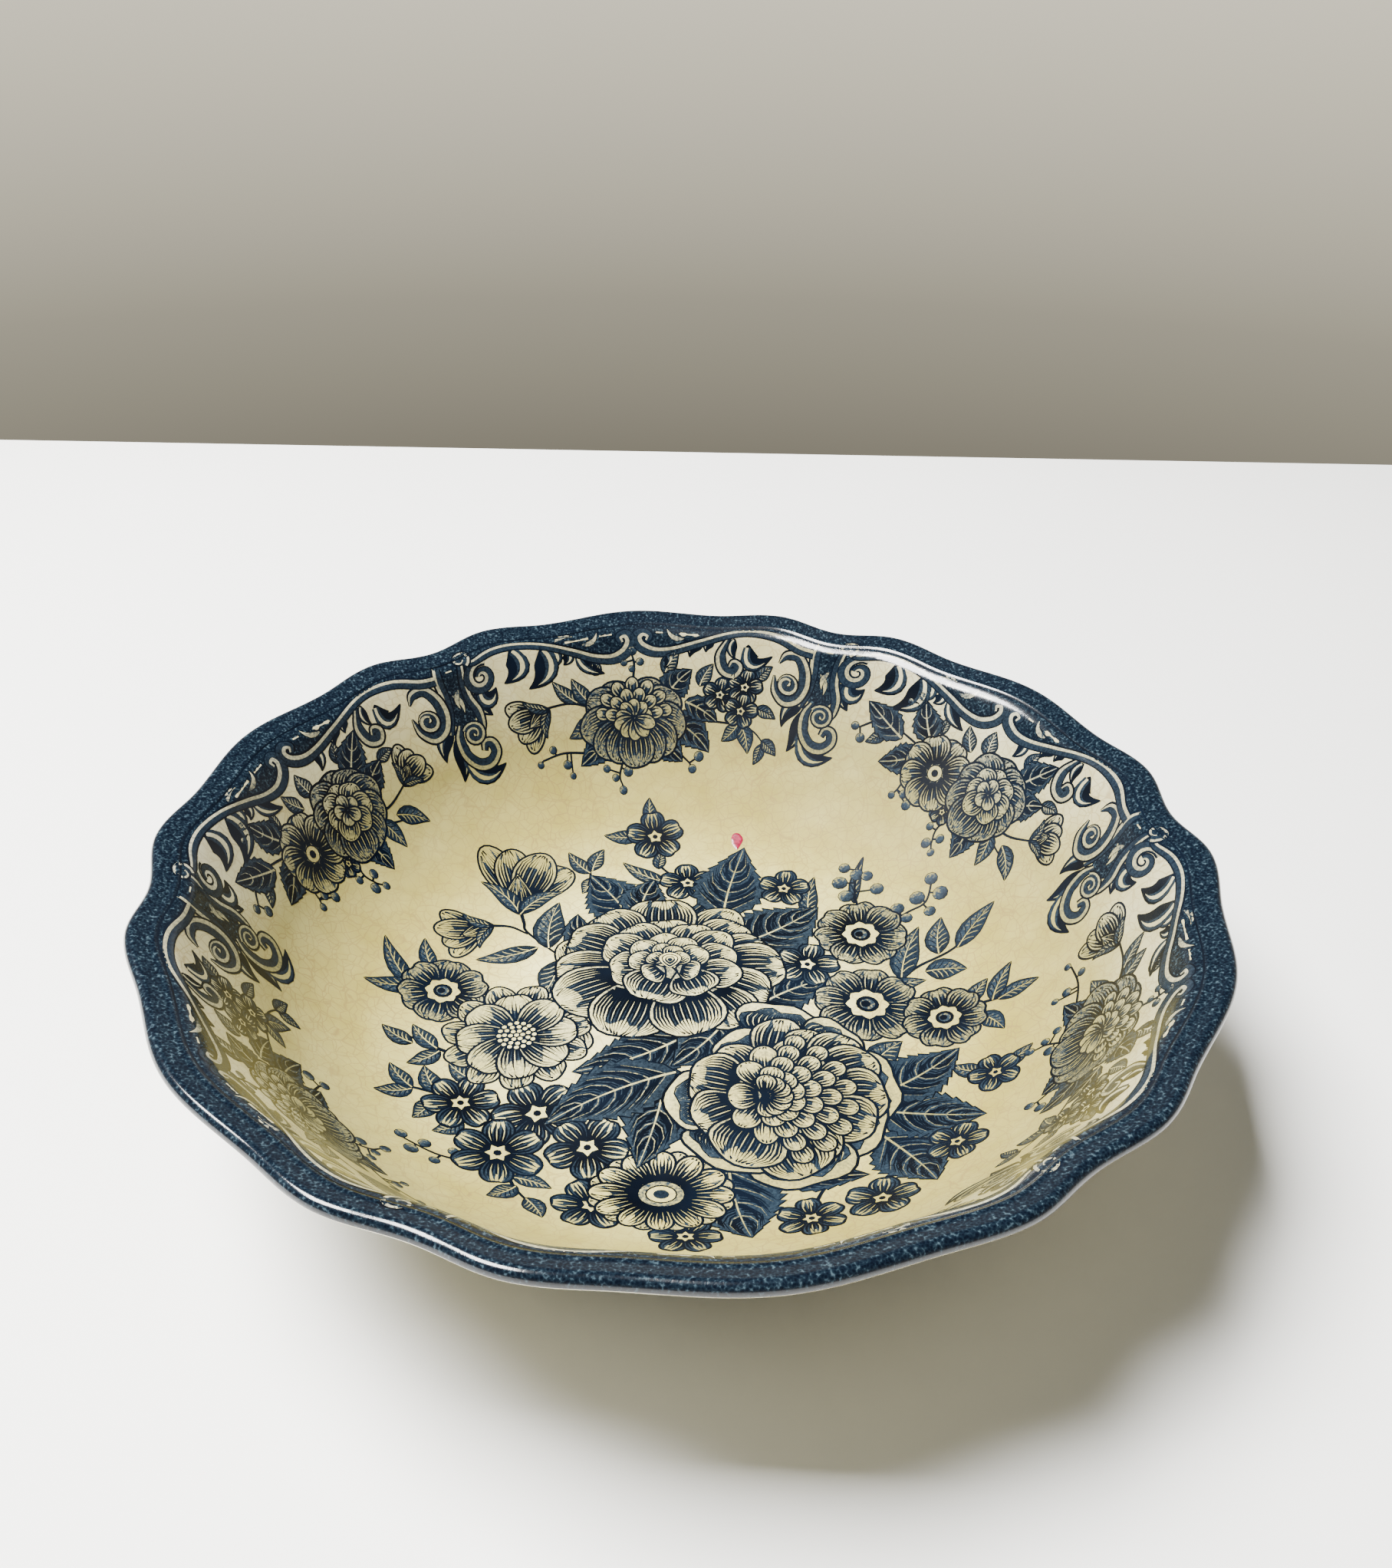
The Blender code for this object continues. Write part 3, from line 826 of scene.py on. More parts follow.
def pendant(art):
    """Double curl that hangs below the junction."""
    horn(art, -2.6-25j, 8.7-29.6j, 2.4, -0.62)
    ribbon(art, curve([-1.2-15.2j, -2.7-19j, -2.3-24j, 0.6-27.6j, 4.4-28j, 7-25.6j, 6.5-22.8j, 4.5-22.2j,
                       3.5-24.2j]), (0.8, 1.9, 2.3, 2.5, 2.2, 2.1, 1.6, 0.9), 1)
    ribbon(art, curl(2.1-18.7j, 3.1, 0.7, 150, -560, 26), (1.0, 1.5, 1.4, 0.8), -1)


def border(art):
    """One sector of the border, centred on its junction: stippled ground, scrolls and pendant."""
    across = np.linspace(-SECTOR_WIDTH / 2, SECTOR_WIDTH / 2, 60)
    edge = [complex(x, STIPPLE_EDGE - BAND_EDGE) for x in across]
    right = [52.36-2.4j, 51-3.4j, 49.6-4.4j, 46-5.9j, 41-4.9j, 35-2j, 28+0.8j, 21+1.7j, 14+1.4j,
             8.6+0.5j, 6.6+0.2j, 4-4j, 3.9-8j, 4.6-12j, 3.6-15j]
    left = [0-16.4j, -2.4-15j, -3-12j, -2.7-7j, -3-2j, -5-0.8j, -8-0.6j, -14+1j, -22+2j, -28+1.2j,
            -35-1.4j, -42-4j, -47-4.6j, -50.6-3j, -52.36-2.4j]
    art.fill([*edge, *curve([*right, *left])], STIPPLE)
    for base, tip, bend in ((38-0.6j, 42.5+2.2j, -0.5), (31+1.6j, 36+2.4j, 0.4), (-39-0.4j, -43.5+2.2j, 0.5),
                            (-0.6-6j, 1.4-12j, 0.3), (1.8-5j, 0.6-10.5j, -0.3)):
        blade = Blade(base, tip, 0.7, leaf_form, bend)
        art.cell(blade.outline(8), 0.42, (base, tip, 0.1), line=0.15)
    scroll_left(art)
    scroll_right(art)
    pendant(art)


def tall_spray(art, dice):
    """Wall spray with one full peony; x = 0 is the middle of the sector and y = 0 the rim band."""
    stems = (
        ((0.9, 0.7, 0.6), (-12-20j, -20-17j, -29-17.5j)),
        ((0.8, 0.6, 0.4), (12-24j, 24-24.5j, 34-26j, 40-31j)),
    )
    leaves = (
        (-18-17j, -24-10j, 2.0), (-14-18j, -18.5-10j, 2.2), (-13-22j, -22-27j, 2.8), (8-11j, 12-4j, 2.2),
        (18-14j, 21.5-7.5j, 2.1), (30-25j, 25.5-30j, 2.2), (31-25j, 34-33j, 2.4), (38-30j, 36.5-36j, 1.6),
        (38-29j, 43-32.5j, 1.9), (35-20j, 41-22j, 1.8), (34-12j, 38-7.5j, 1.9), (-10-9.5j, -13-6j, 1.7),
    )
    berries = (
        ([-1-12j, -0.5-8j, -1-5j], [-3.3-7.5j, 1.2-7.5j, -0.8-4.3j, -1.2-9.4j], 1.0),
        ([-18-32j, -25-31j, -32-32j], [-33-33j, -28-29.5j, -24.5-34.5j, -23.5-38j], 1.1),
        ([-6-35j, -8-40j, -7.5-43j], [-12-37.5j, -7.5-44.5j, -5-39j, -9.5-40.5j], 1.3),
        ([12-34j, 15.5-37j], [16.5-38.8j, 18.5-35j], 1.5),
    )
    blooms = (
        (lily_bud, -27-18j, -37.5-22.5j, 7.5), (rose_leaf, 8-18j, 15.5-9.5j, 4.2, 0.1, 7),
        (rose_leaf, 9-24j, 21.5-33.5j, 5.0, 0.15, 7, -1), (rose_leaf, 14-19j, 23.5-24.5j, 3.6, 0.1, 6),
        (rose_leaf, -8-27j, -20-35.5j, 4.4, 0.05, 7), (rose_leaf, 5-29j, 13-36.5j, 4.4, 0.0, 7),
    )
    greenery(art, dice, stems, leaves, berries, blooms)
    for place in (24-16.5j, 31-14j, 30.5-21j):
        small_flower(art, dice, place, 5.0, 80, 5, 0.8)
    heart = -1.5-23.5j
    outer = rosette(heart, 0.3, (
        (128, 12.5, 5), (52, 12.5, 5), (155, 15, 5.5), (25, 14.5, 5.5), (-12, 15.5, 6), (192, 16.5, 6),
        (-40, 15, 5.5), (222, 15.5, 5.5), (-118, 14, 5), (-62, 14, 5), (-90, 14.5, 5.5)))
    arranged(art, dice, outer, tone=1.0, reach=1.0, line=0.4, pitch=0.95, weight=0.46, body=0.55)
    for reach, count in ((11.5, 7), (8.6, 6), (5.4, 5)):
        for i in range(count):
            way = turn(12 + 156 * i / (count - 1))
            petal(art, dice, heart + way * (reach - 5.2), heart + way * reach, 1.7, tone=0.85, cover=0.3,
                  reach=0.85, line=0.3, pitch=1.2, weight=0.34)
    for degrees in (-160, -125, -90, -55, -20):
        petal(art, dice, heart, heart + 6.4 * turn(degrees), 1.9, tone=0.85, reach=0.8, pitch=1.1,
              weight=0.34)


def wide_spray(art, dice):
    """Wall spray with a dark daisy on the left and a peony on the right."""
    stems = (
        ((0.9, 0.7, 0.5), (-10-22j, -20-18j, -30-15j)), ((0.9, 0.7, 0.5), (10-26j, 20-27j, 30-23j)),
        ((0.7, 0.6, 0.4), (12-26j, 18-31j, 27-33j)),
    )
    leaves = (
        (-4-14j, -7.5-8j, 2.0), (1-13j, 0-6.5j, 2.4), (15-29j, 17.5-38.5j, 2.6), (21-30j, 29.5-36j, 2.6),
        (-30-18j, -35-22.5j, 1.7), (13-10j, 15-4.5j, 1.6), (-14-13j, -13.5-7j, 1.2),
        (24-15j, 29.5-14j, 1.8),
    )
    berries = (
        ([0-32j, -1.5-37j, 0-41j], [-4-37j, 1.5-38.5j, -1.8-41.5j, 1.8-43j, -5.5-33.5j], 1.3),
        ([-19-28j, -20-32j], [-21-34j, -17.5-32.5j, -15-35j], 1.2),
        ([-22-10j, -24-7j], [-26-7.5j, -23.5-5j, -21.5-7j], 1.1),
        ([-34-16j, -38-19j], [-39.5-19j, -37-22j], 1.3),
    )
    blooms = (
        (lily_bud, 28-24j, 35-18.5j, 6.5), (rose_leaf, -25-18j, -37.5-11.5j, 4.4, 0.05, 7),
        (rose_leaf, -16-16j, -22-5.5j, 4.2, 0.1, 7, -1), (rose_leaf, -17-20j, -29-26.5j, 4.4, 0.1, 7),
        (rose_leaf, 14-15j, 21.5-4.5j, 4.2, 0.0, 7), (rose_leaf, 16-21j, 24.5-15j, 4.0, 0.1, 6, -1),
        (rose_leaf, 7-30j, 8.5-41j, 4.0, 0.1, 7), (small_flower, -3-32j, 3.6, 90),
    )
    greenery(art, dice, stems, leaves, berries, blooms)
    centre = -11-23.5j
    for i in range(8):
        way = turn(70 + 45 * i)
        petal(art, dice, centre + way * 1.5, centre + way * 10.8, 4.2, notch=0.06, tone=0.95, cover=0.1,
              reach=1.0, pitch=0.9, weight=0.42, line=0.36)
    art.cell(circle(centre, 2.2, 12), 0.0, line=0.3)
    art.fill(circle(centre, 1.1, 9), 1.0)
    heart = 7.5-21.5j
    outer = rosette(heart, 0.4, (
        (85, 10.5, 5.2), (45, 11.5, 5.2), (130, 11, 5.2), (10, 12.5, 5.6), (-30, 12, 5.6), (175, 11, 5.2),
        (-70, 13, 6), (215, 13, 5.6), (-105, 14, 6)))
    inner = rosette(heart, 0.3, (
        (90, 7.2, 3.4), (40, 7.8, 3.4), (140, 7.2, 3.4), (-10, 8.2, 3.4), (190, 7.2, 3.4), (-55, 7.8, 3.4),
        (235, 8.2, 3.4)))
    arranged(art, dice, outer, tone=1.0, reach=1.0, line=0.4, pitch=0.95, weight=0.46, body=0.55)
    arranged(art, dice, inner, tone=0.9, reach=0.9, line=0.34, pitch=0.9, weight=0.4)
    for i in range(5):
        petal(art, dice, heart, heart + 4.2 * turn(72 * i + 20), 1.8, frill=0, tone=0.85, reach=0.85,
              pitch=1.1, weight=0.34)


# ---------------------------------------------------------------- from drawing to print


def finer(outline, longest):
    """Outline with no edge longer than a limit."""
    result = []
    for a, b in zip(outline, outline[1:] + outline[:1]):
        pieces = max(1, math.ceil(abs(b - a) / longest))
        result += [a + (b - a) * i / pieces for i in range(pieces)]
    return result


def covered(outline, places):
    """Which of the places lie inside an outline, by winding number."""
    start = np.array(outline)[None, :]
    end = np.roll(start, -1)
    x, y = places.real[:, None], places.imag[:, None]
    crosses = (start.imag > y) != (end.imag > y)
    rise = np.where(crosses, end.imag - start.imag, 1.0)
    at = start.real + (y - start.imag) * (end.real - start.real) / rise
    hits = crosses & (x < at)
    return np.where(hits, np.sign(rise), 0.0).sum(axis=1) != 0


def printed(shapes, spacing, longest):
    """Splits overlapping shapes into triangles; returns points, triangles and the ink at their corners."""
    points, edges = [], []
    for outline, _, _ in shapes:
        ring = finer(outline, longest)
        first = len(points)
        points += ring
        edges += [(first + i, first + (i + 1) % len(ring)) for i in range(len(ring))]
    reals = [p.real for p in points]
    imags = [p.imag for p in points]
    for x in np.arange(min(reals), max(reals), spacing):
        for y in np.arange(min(imags), max(imags), spacing):
            points.append(complex(x + spacing * 0.37, y + spacing * 0.21))
    flat = [Vector((p.real, p.imag)) for p in points]
    verts, _, faces, _, _, _ = delaunay_2d_cdt(flat, edges, [], 0, 1e-3, False)
    spots = np.array([complex(*v) for v in verts])
    triangles = np.array([tuple(face) for face in faces])
    middles = spots[triangles].mean(axis=1)
    order = np.argsort(middles.real)
    sorted_reals = middles.real[order]
    top = np.full(len(triangles), -1)
    for index, (outline, _, _) in enumerate(shapes):
        ring = np.array(outline)
        low, high = np.searchsorted(sorted_reals, (ring.real.min(), ring.real.max()))
        near = order[low:high]
        near = near[(middles.imag[near] >= ring.imag.min()) & (middles.imag[near] <= ring.imag.max())]
        top[near[covered(outline, middles[near])]] = index
    triangles, top = triangles[top >= 0], top[top >= 0]
    inks = np.array([ink for _, ink, _ in shapes])
    fades = [fade or (0j, 1+0j, ink) for _, ink, fade in shapes]
    starts = np.array([fade[0] for fade in fades])
    runs = np.array([fade[1] - fade[0] for fade in fades])
    ends = np.array([fade[2] for fade in fades])
    run = runs[top][:, None]
    share = ((spots[triangles] - starts[top][:, None]) * run.conj()).real / np.abs(run) ** 2
    corner_inks = inks[top][:, None] + (ends - inks)[top][:, None] * np.clip(share, 0, 1)
    kept = corner_inks.max(axis=1) > 0.05
    return spots, triangles[kept], corner_inks[kept]


def set_ink(mesh, inks):
    """Stores the ink of every corner of the faces."""
    attribute = mesh.attributes.new("ink", "FLOAT", "CORNER")
    attribute.data.foreach_set("value", inks.astype(np.float32).ravel())


def print_mesh(name, parts):
    """Mesh of ink on the inside; parts are (points, triangles, inks, place), place giving s and angle."""
    coords, normals, triangles, inks = [], [], [], []
    count = 0
    for spots, part_triangles, part_inks, place in parts:
        used, renumbered = np.unique(part_triangles, return_inverse=True)
        renumbered = renumbered.reshape(part_triangles.shape)
        s, angles = place(spots[used].real, spots[used].imag)
        part_coords = inside(s, angles, PRINT_LIFT)
        part_normals = inside_normals(s, angles)
        a, b, c = (part_coords[renumbered[:, k]] for k in range(3))
        facing = (np.cross(b - a, c - a) * part_normals[renumbered[:, 0]]).sum()
        if facing < 0:
            renumbered, part_inks = renumbered[:, ::-1], part_inks[:, ::-1]
        coords.append(part_coords * MM)
        normals.append(part_normals)
        triangles.append(renumbered + count)
        inks.append(part_inks)
        count += len(used)
    mesh = bpy.data.meshes.new(name)
    mesh.from_pydata(np.concatenate(coords), [], np.concatenate(triangles))
    inks = np.concatenate(inks)
    set_ink(mesh, np.minimum(inks, 1.0))
    mesh.polygons.foreach_set("material_index", (inks[:, 0] == STIPPLE).astype(np.int32))
    mesh.shade_smooth()
    mesh.normals_split_custom_set_from_vertices(np.concatenate(normals))
    return mesh


def bouquet_place(x, y):
    """Bouquet: x and y are distances along the inside from the middle."""
    return np.hypot(x, y), np.arctan2(y, x) + math.radians(BOUQUET_TURN)


def strip_place(centre):
    """Border and sprays: x runs to the right around the wall from a centre angle, y up to the rim band."""

    def place(x, y):
        return BAND_EDGE + y, math.radians(centre) - x / STRIP_RADIUS

    return place


def prints(ink, stipple):
    """The printed pieces: bouquet, six scrolls and two kinds of spray, three of each."""
    art = Drawing()
    garden(art, random.Random(GARDEN_SEED))
    add_piece(print_mesh("print_bouquet", [(*printed(art.shapes, 3.4, 3.2), bouquet_place)]), [ink])
    art = Drawing()
    border(art)
    scroll = printed(art.shapes, 1.6, 1.2)
    parts = [(*scroll, strip_place(60 * k)) for k in range(SECTORS)]
    add_piece(print_mesh("print_scrolls", parts), [ink, stipple])
    for first, spray, name in ((30, wide_spray, "print_wide_spray"), (90, tall_spray, "print_tall_spray")):
        art = Drawing()
        spray(art, random.Random(first))
        flat = printed(art.shapes, 3.2, 2.6)
        for k in range(3):
            part = (*flat, strip_place(first + 120 * k))
            add_piece(print_mesh(f"{name}_{k + 1}", [part]), [ink])


def ring_mesh(name, stations, lift):
    """Mesh of a printed ring through the given distances from the middle."""
    mesh = grid_mesh(name, rings(stations, lift), False)
    if mesh.polygons[0].normal.z < 0:
        mesh.flip_normals()
    return mesh


def rim_band(material):
    """Stippled band from the top of the wall over the lip."""
    stations = [*np.arange(STIPPLE_EDGE, LIP_START, 0.28), *np.linspace(LIP_START, LIP_START + 3.4, 9)]
    add_piece(ring_mesh("print_rim_band", stations, PRINT_LIFT), [material])


def rim_line(material):
    """Dark line along the foot of the bead, on the side towards the well."""
    stations = [BEAD_AT - offset for offset in (0.95, 0.75, 0.55)]
    mesh = ring_mesh("dark_rim_line", stations, 1.6 * PRINT_LIFT)
    set_ink(mesh, np.ones(len(mesh.loops)))
    add_piece(mesh, [material])


def pink_dab(material):
    """Small raised dab of pink enamel at the tip of the upright leaf."""
    art = Drawing()
    blob = Blade(14.6+64.6j, 15.4+70.6j, 1.7, petal_form, 0.15)
    art.fill(blob.outline(12, 0.12, 4), 1.0)
    mesh = print_mesh("pink_dab", [(*printed(art.shapes, 0.5, 0.5), bouquet_place)])
    bm = bmesh.new()
    bm.from_mesh(mesh)
    rim = {v.index for e in bm.edges if e.is_boundary for v in e.verts}
    for vert in bm.verts:
        if vert.index not in rim:
            vert.co.z += DAB_HEIGHT * MM
    bm.to_mesh(mesh)
    bm.free()
    add_piece(mesh, [material])


# ---------------------------------------------------------------- materials


class Nodes:
    """Node tree of a material or the world; a value is a socket, a number, or a tuple such as a colour."""

    def __init__(self, owner, shader="Principled BSDF"):
        owner.use_nodes = True
        self.owner = owner
        self.tree = owner.node_tree
        self.shader = self.tree.nodes[shader]

    def put(self, value, socket):
        """Gives a value to an input."""
        if isinstance(value, bpy.types.NodeSocket):
            self.tree.links.new(value, socket)
        elif socket.type == "RGBA":
            socket.default_value = (*value, 1.0)
        else:
            socket.default_value = value

    def add(self, kind, inputs, **settings):
        """New node; inputs give values by the name or number of the socket, settings are its properties."""
        node = self.tree.nodes.new("ShaderNode" + kind)
        for key, value in settings.items():
            setattr(node, key, value)
        for key, value in inputs.items():
            self.put(value, node.inputs[key])
        return node

    def coords(self, kind="Object"):
        """Where the painted point lies, or which way it faces."""
        return self.add("TexCoord", {}).outputs[kind]

    def up(self, vector):
        """Third part of a vector."""
        return self.add("SeparateXYZ", {0: vector}).outputs["Z"]

    def noise(self, vector, scale, detail=3.0, rough=0.55):
        """Noise over a position."""
        inputs = {"Vector": vector, "Scale": scale, "Detail": detail, "Roughness": rough}
        return self.add("TexNoise", inputs).outputs["Fac"]

    def ramp(self, factor, stops):
        """Colour ramp over a factor; stops are (position, colour)."""
        node = self.add("ValToRGB", {"Fac": factor})
        elements = node.color_ramp.elements
        while len(elements) < len(stops):
            elements.new(0.5)
        for element, (position, colour) in zip(elements, stops):
            element.position = position
            element.color = (*colour, 1.0)
        return node.outputs["Color"]

    def math(self, operation, a, b, clamp=False):
        """Arithmetic on sockets or numbers."""
        return self.add("Math", {0: a, 1: b}, operation=operation, use_clamp=clamp).outputs[0]

    def times(self, a, b, clamp=False):
        """Product."""
        return self.math("MULTIPLY", a, b, clamp)

    def minus(self, a, b, clamp=False):
        """Difference."""
        return self.math("SUBTRACT", a, b, clamp)

    def mix(self, factor, a, b, blend="MIX"):
        """Mix of two colours."""
        node = self.add("Mix", {}, data_type="RGBA", blend_type=blend)
        sockets = [s for s in node.inputs if s.enabled]
        for socket, value in zip(sockets, (factor, a, b)):
            self.put(value, socket)
        return [s for s in node.outputs if s.enabled][0]

    def bump(self, height, strength, distance):
        """Makes the surface uneven; the distance is in metres."""
        inputs = {"Height": height, "Strength": strength, "Distance": distance}
        self.paint({"Normal": self.add("Bump", inputs).outputs["Normal"]})

    def paint(self, looks):
        """Gives values to the shader's inputs and returns the material or world."""
        for key, value in looks.items():
            self.put(value, self.shader.inputs[key])
        return self.owner


CRACK_TAN = (0.17, 0.115, 0.045)
OUTSIDE_GLAZE = (0.44, 0.43, 0.34)
GLAZE_STAIN_AND_SHADE = (  # tan stain from the middle of the well to the rim; the dark stops at 0.62 and 0.76, at the foot of the wall, are darkened further as painted shade
    (0.0, (0.66, 0.62, 0.33)), (0.30, (0.60, 0.56, 0.27)), (0.46, (0.42, 0.385, 0.15)),
    (0.62, (0.28, 0.248, 0.076)), (0.76, (0.285, 0.262, 0.108)), (0.84, (0.38, 0.365, 0.235)),
    (0.92, OUTSIDE_GLAZE),
)
RADIUS_SCALE = 8.0  # from metres to positions on the ramps that run from the middle to the rim
CRACKS = ((340.0, 0.055), (160.0, 0.03))  # scale of the net and width of its lines
STIPPLE_STOPS = (
    (0.42, (0.0005, 0.0018, 0.005)), (0.55, (0.002, 0.005, 0.010)), (0.66, (0.0055, 0.011, 0.017)),
    (0.80, (0.034, 0.055, 0.070)),
)


def grey(value):
    """Colour with three equal parts."""
    return value, value, value


def place_of(nodes):
    """Position on the object, and the distance from the axis in units of the ramps."""
    coords = nodes.coords()
    flat = nodes.add("VectorMath", {0: coords, 1: (1, 1, 0)}, operation="MULTIPLY").outputs["Vector"]
    radius = nodes.add("VectorMath", {0: flat}, operation="LENGTH").outputs["Value"]
    return coords, nodes.times(radius, RADIUS_SCALE)


def glaze_stain_and_shade(nodes, coords, radius):
    """Mottled cream glaze; the inside, which faces up, is stained tan where the wall starts and darkened
    there further as painted shade.
    """
    faces_up = nodes.times(nodes.up(nodes.coords("Normal")), 8.0, True)
    # The radius ramp gives the tan stain and, at the foot of the wall, painted shade.
    stain_and_shade = nodes.mix(faces_up, OUTSIDE_GLAZE, nodes.ramp(radius, GLAZE_STAIN_AND_SHADE))
    broad = nodes.noise(coords, 16.0, 4.0, 0.6)
    fine = nodes.noise(coords, 130.0, 6.0, 0.75)
    tan = nodes.ramp(broad, [(0.38, (1.05, 1.05, 1.02)), (0.66, (0.84, 0.78, 0.54))])
    grain = nodes.ramp(fine, [(0.32, (1.05, 1.04, 1.03)), (0.70, (0.82, 0.78, 0.64))])
    return nodes.mix(0.7, nodes.mix(0.8, stain_and_shade, tan, "MULTIPLY"), grain, "MULTIPLY")


def crazing(nodes, coords):
    """Fine crack lines of the glaze: 1 on a line, 0 elsewhere."""
    warp = nodes.add("TexNoise", {"Vector": coords, "Scale": 120.0, "Detail": 2.0}).outputs["Color"]
    moved = nodes.add("VectorMath", {0: warp, 1: grey(0.004), 2: coords}, operation="MULTIPLY_ADD")
    lines = []
    for scale, width in CRACKS:
        inputs = {"Vector": moved.outputs["Vector"], "Scale": scale}
        edge = nodes.add("TexVoronoi", inputs, feature="DISTANCE_TO_EDGE").outputs["Distance"]
        lines.append(nodes.minus(1.0, nodes.math("DIVIDE", edge, width, True), True))
    patch = nodes.noise(coords, 30.0, 2.0)
    return nodes.times(nodes.math("MAXIMUM", *lines), nodes.times(patch, 1.5, True))


def glazed(name):
    """Material with crack lines, faint waves and a gloss that is dulled by use in the well."""
    nodes = Nodes(bpy.data.materials.new(name))
    coords, radius = place_of(nodes)
    lines = crazing(nodes, coords)
    nodes.bump(nodes.minus(nodes.noise(coords, 55.0, 2.0), nodes.times(lines, 0.06)), 0.25, 0.0004)
    wear = nodes.math("ADD", nodes.noise(coords, 40.0, 4.0, 0.6), 0.5)
    used = nodes.ramp(radius, [(0.72, grey(0.46)), (0.86, grey(0.14))])
    level = nodes.ramp(radius, [(0.72, grey(0.05)), (0.84, grey(0.5))])
    nodes.paint({"Roughness": nodes.times(wear, used), "Specular IOR Level": level})
    return nodes, coords, radius, lines


def glaze_material():
    """Stained, crazed cream glaze, with painted shade at the foot of the wall."""
    nodes, coords, radius, lines = glazed("crazed_cream_glaze")
    colour = glaze_stain_and_shade(nodes, coords, radius)
    return nodes.paint({"Base Color": nodes.mix(nodes.times(lines, 0.6), colour, CRACK_TAN)})


def ink_material():
    """Cobalt print under the glaze; the ink attribute sets how dense it is."""
    nodes, coords, radius, _ = glazed("underglaze_cobalt")
    # The ground between the inked lines keeps the glaze's stain and painted shade.
    ground = glaze_stain_and_shade(nodes, coords, radius)
    ink = nodes.add("Attribute", {}, attribute_name="ink").outputs["Fac"]
    dots = nodes.times(nodes.minus(nodes.noise(coords, 1500.0, 2.0), 0.5), 1.1)
    soft = nodes.times(ink, nodes.minus(1.0, ink))
    density = nodes.math("ADD", ink, nodes.times(nodes.times(soft, 4.0), dots), True)
    pool = nodes.noise(coords, 60.0, 3.0)
    full = nodes.ramp(pool, [(0.35, (0.0003, 0.001, 0.0028)), (0.7, (0.001, 0.0035, 0.009))])
    half = nodes.mix(0.99, ground, (0.011, 0.022, 0.036))
    light = nodes.times(density, 2.0, True)
    heavy = nodes.minus(nodes.times(density, 2.0), 1.0, True)
    return nodes.paint({"Base Color": nodes.mix(heavy, nodes.mix(light, ground, half), full)})


def stipple_material():
    """Close cobalt stipple of the rim band."""
    nodes, coords, _, _ = glazed("stippled_cobalt")
    worms = nodes.noise(coords, 1150.0, 3.0, 0.65)
    cells = nodes.add("TexVoronoi", {"Vector": coords, "Scale": 1700.0}).outputs["Distance"]
    pattern = nodes.math("ADD", nodes.times(worms, 0.7), nodes.times(cells, 0.42))
    return nodes.paint({"Base Color": nodes.ramp(pattern, STIPPLE_STOPS)})


def foot_material():
    """Glazed ring whose bearing edge is bare, gritty clay."""
    nodes = Nodes(bpy.data.materials.new("worn_biscuit_edge"))
    coords, radius = place_of(nodes)
    cracks = nodes.times(crazing(nodes, coords), 0.4)
    glaze = nodes.mix(cracks, glaze_stain_and_shade(nodes, coords, radius), CRACK_TAN)
    ragged = nodes.times(nodes.noise(coords, 220.0, 3.0), 0.0012)
    height = nodes.minus(nodes.up(coords), ragged)
    bare = nodes.minus(1.0, nodes.math("DIVIDE", height, 0.0009, True), True)
    grit = nodes.noise(coords, 700.0, 5.0, 0.7)
    stops = [(0.3, (0.42, 0.33, 0.20)), (0.5, (0.62, 0.52, 0.36)), (0.75, (0.74, 0.66, 0.50))]
    clay = nodes.ramp(grit, stops)
    nodes.bump(nodes.times(grit, bare), 0.5, 0.0002)
    roughness = nodes.math("ADD", nodes.times(bare, 0.65), 0.12)
    return nodes.paint({"Base Color": nodes.mix(bare, glaze, clay), "Roughness": roughness})


def mottled(name, scale, detail, stops, roughness):
    """Plain material whose colour wanders a little."""
    nodes = Nodes(bpy.data.materials.new(name))
    colour = nodes.ramp(nodes.noise(nodes.coords(), scale, detail), stops)
    return nodes.paint({"Base Color": colour, "Roughness": roughness})


def pink_material():
    """Pink enamel."""
    stops = [(0.35, (0.13, 0.0002, 0.016)), (0.6, (0.22, 0.0004, 0.028))]
    return mottled("pink_enamel", 900.0, 3.0, stops, 0.25)


def floor_material():
    """Plain white table."""
    stops = [(0.3, (0.80, 0.80, 0.785)), (0.7, (0.83, 0.83, 0.815))]
    return mottled("white_table", 3.0, 2.0, stops, 0.6)


# ---------------------------------------------------------------- camera, table and light

VIEW_TURN = math.radians(BOUQUET_TURN)
CAMERA_PLACE = (0.021, -2.181, 1.554)  # in rim radii from the middle of the rim
CAMERA_PITCH = math.radians(90 - 33.03)
CAMERA_ROLL = math.radians(1.036)
FOCAL_LENGTH = 32.07
SENSOR_WIDTH = 36.0
TABLE_CORNERS = ((-20, -16), (20, -16), (20, 3.58), (-20, 3.58))  # in rim radii
WINDOW_PLACE = (-4.6, 0.5, 9.9)  # in rim radii
WINDOW_SIDE = 0.62  # in metres
WINDOW_POWER = 116.0
WINDOW_COLOUR = (1.0, 0.99, 0.965)
ROOM_STOPS = (  # from below to above
    (0.02, (0.235, 0.215, 0.165)), (0.12, (0.40, 0.37, 0.285)), (0.31, (0.98, 0.91, 0.72)),
    (0.55, (0.36, 0.345, 0.31)), (0.95, (0.13, 0.13, 0.122)),
)


def aligned(x, y, z):
    """Point in metres given in rim radii in front of the camera's own axes."""
    point = Vector((x, y, z)) * RIM_RADIUS * MM
    return Matrix.Rotation(VIEW_TURN, 4, "Z") @ point


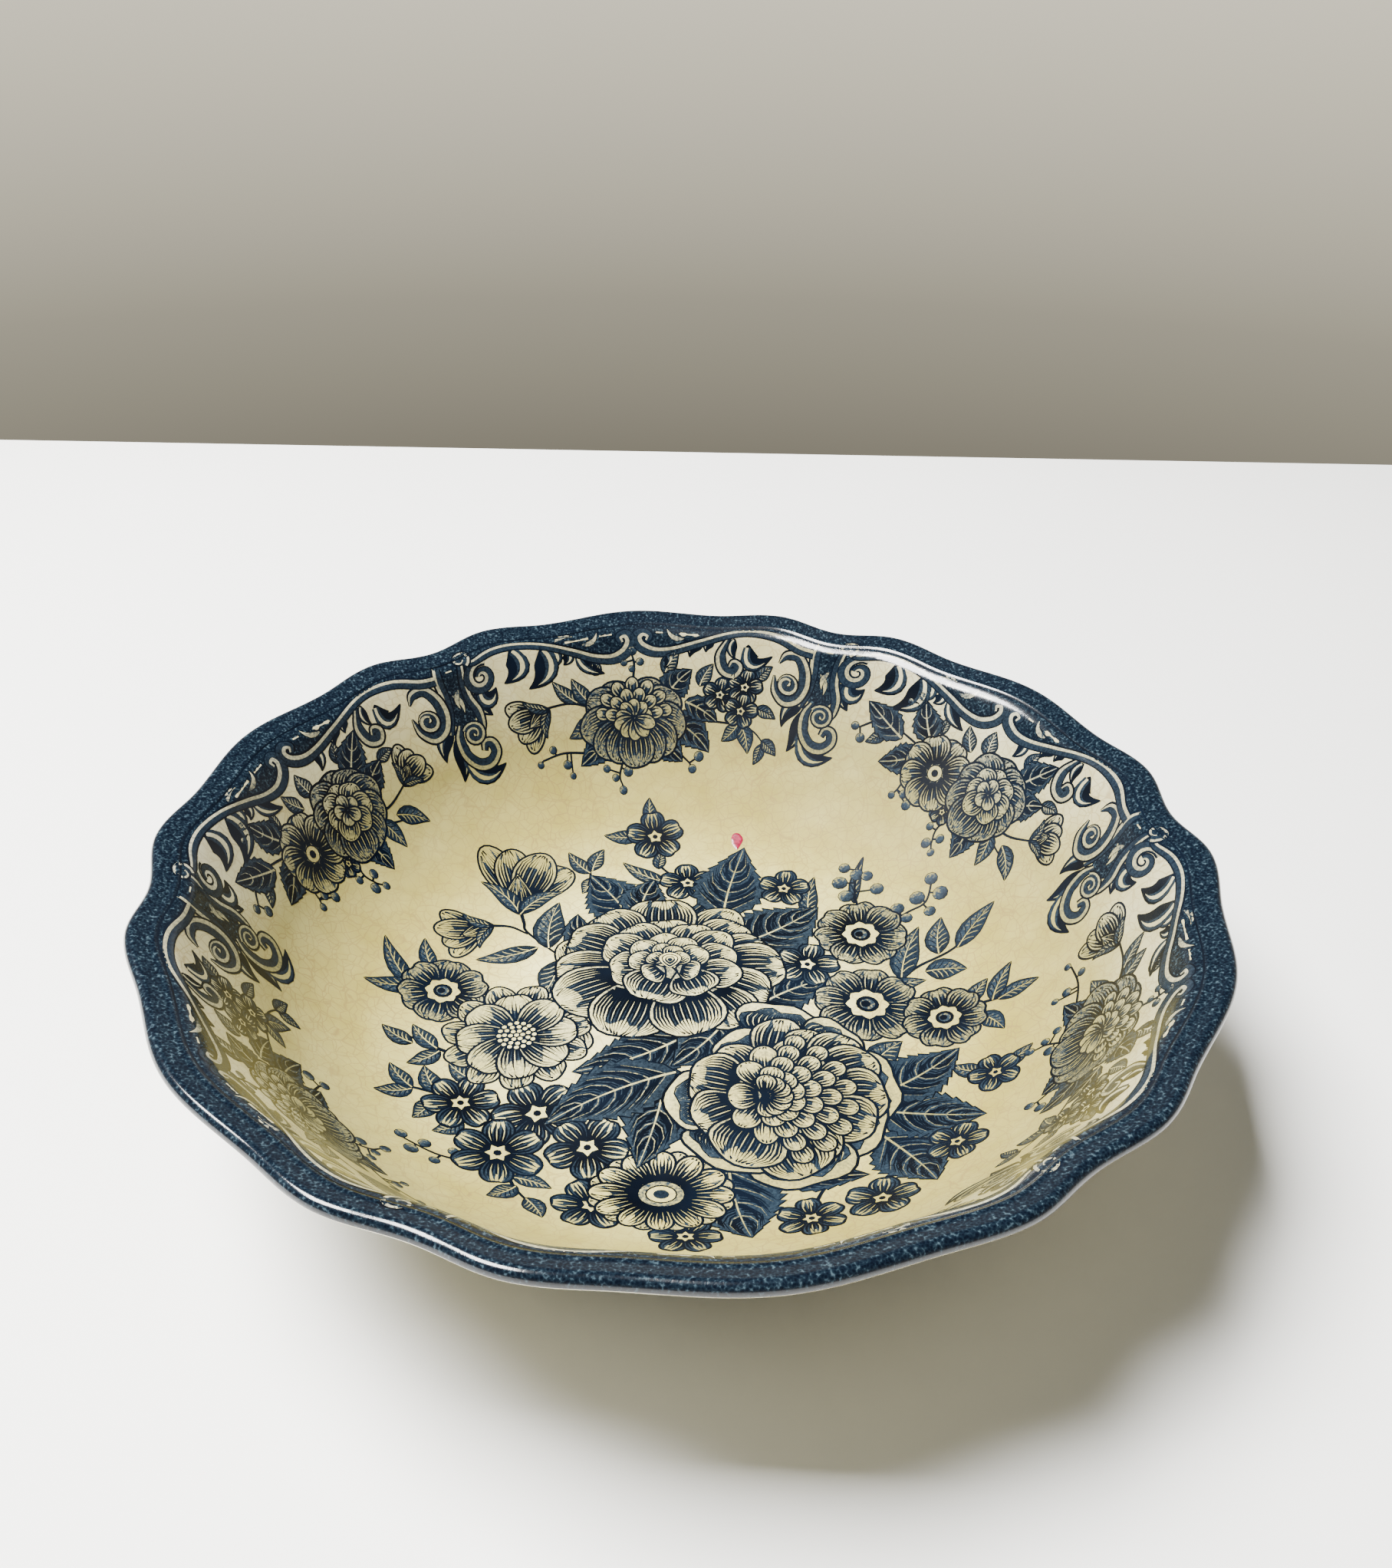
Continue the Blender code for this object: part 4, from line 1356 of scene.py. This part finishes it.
def camera():
    """Camera of a phone held over the table, a little turned about its own axis."""
    data = bpy.data.cameras.new("camera")
    data.sensor_width = SENSOR_WIDTH
    data.lens = FOCAL_LENGTH
    data.clip_start = 0.01
    obj = bpy.data.objects.new("camera", data)
    place = aligned(*CAMERA_PLACE) + Vector((0, 0, HEIGHT * MM))
    pitch = Matrix.Rotation(CAMERA_PITCH, 4, "X")
    roll = Matrix.Rotation(CAMERA_ROLL, 4, "Z")
    obj.matrix_world = Matrix.Translation(place) @ Matrix.Rotation(VIEW_TURN, 4, "Z") @ pitch @ roll
    bpy.context.scene.collection.objects.link(obj)
    bpy.context.scene.camera = obj


def table():
    """White table top that ends a little way behind the bowl."""
    mesh = bpy.data.meshes.new("table_top")
    mesh.from_pydata([aligned(x, y, 0.0) for x, y in TABLE_CORNERS], [], [(0, 1, 2, 3)])
    mesh.materials.append(floor_material())
    top = bpy.data.objects.new("table_top", mesh)
    bpy.context.scene.collection.objects.link(top)


def window():
    """Soft light of a window high over the bowl, a little to the left."""
    data = bpy.data.lights.new("window", "AREA")
    data.shape = "RECTANGLE"
    data.size = WINDOW_SIDE
    data.size_y = WINDOW_SIDE
    data.energy = WINDOW_POWER
    data.color = WINDOW_COLOUR
    obj = bpy.data.objects.new("window", data)
    place = aligned(*WINDOW_PLACE)
    obj.matrix_world = Matrix.Translation(place) @ (-place).to_track_quat("-Z", "Y").to_matrix().to_4x4()
    bpy.context.scene.collection.objects.link(obj)


def room():
    """Grey-beige room, brightest just above the height of the table."""
    nodes = Nodes(bpy.data.worlds.new("room"), "Background")
    span = {"Value": nodes.up(nodes.coords("Generated")), "From Min": -0.36, "From Max": 0.64}
    height = nodes.add("MapRange", span).outputs["Result"]
    bpy.context.scene.world = nodes.paint({"Color": nodes.ramp(height, ROOM_STOPS)})


# ---------------------------------------------------------------- everything together


camera()
table()
window()
room()
bowl(glaze_material())
foot(foot_material())
stipple = stipple_material()
ink = ink_material()
prints(ink, stipple)
rim_band(stipple)
rim_line(ink)
pink_dab(pink_material())
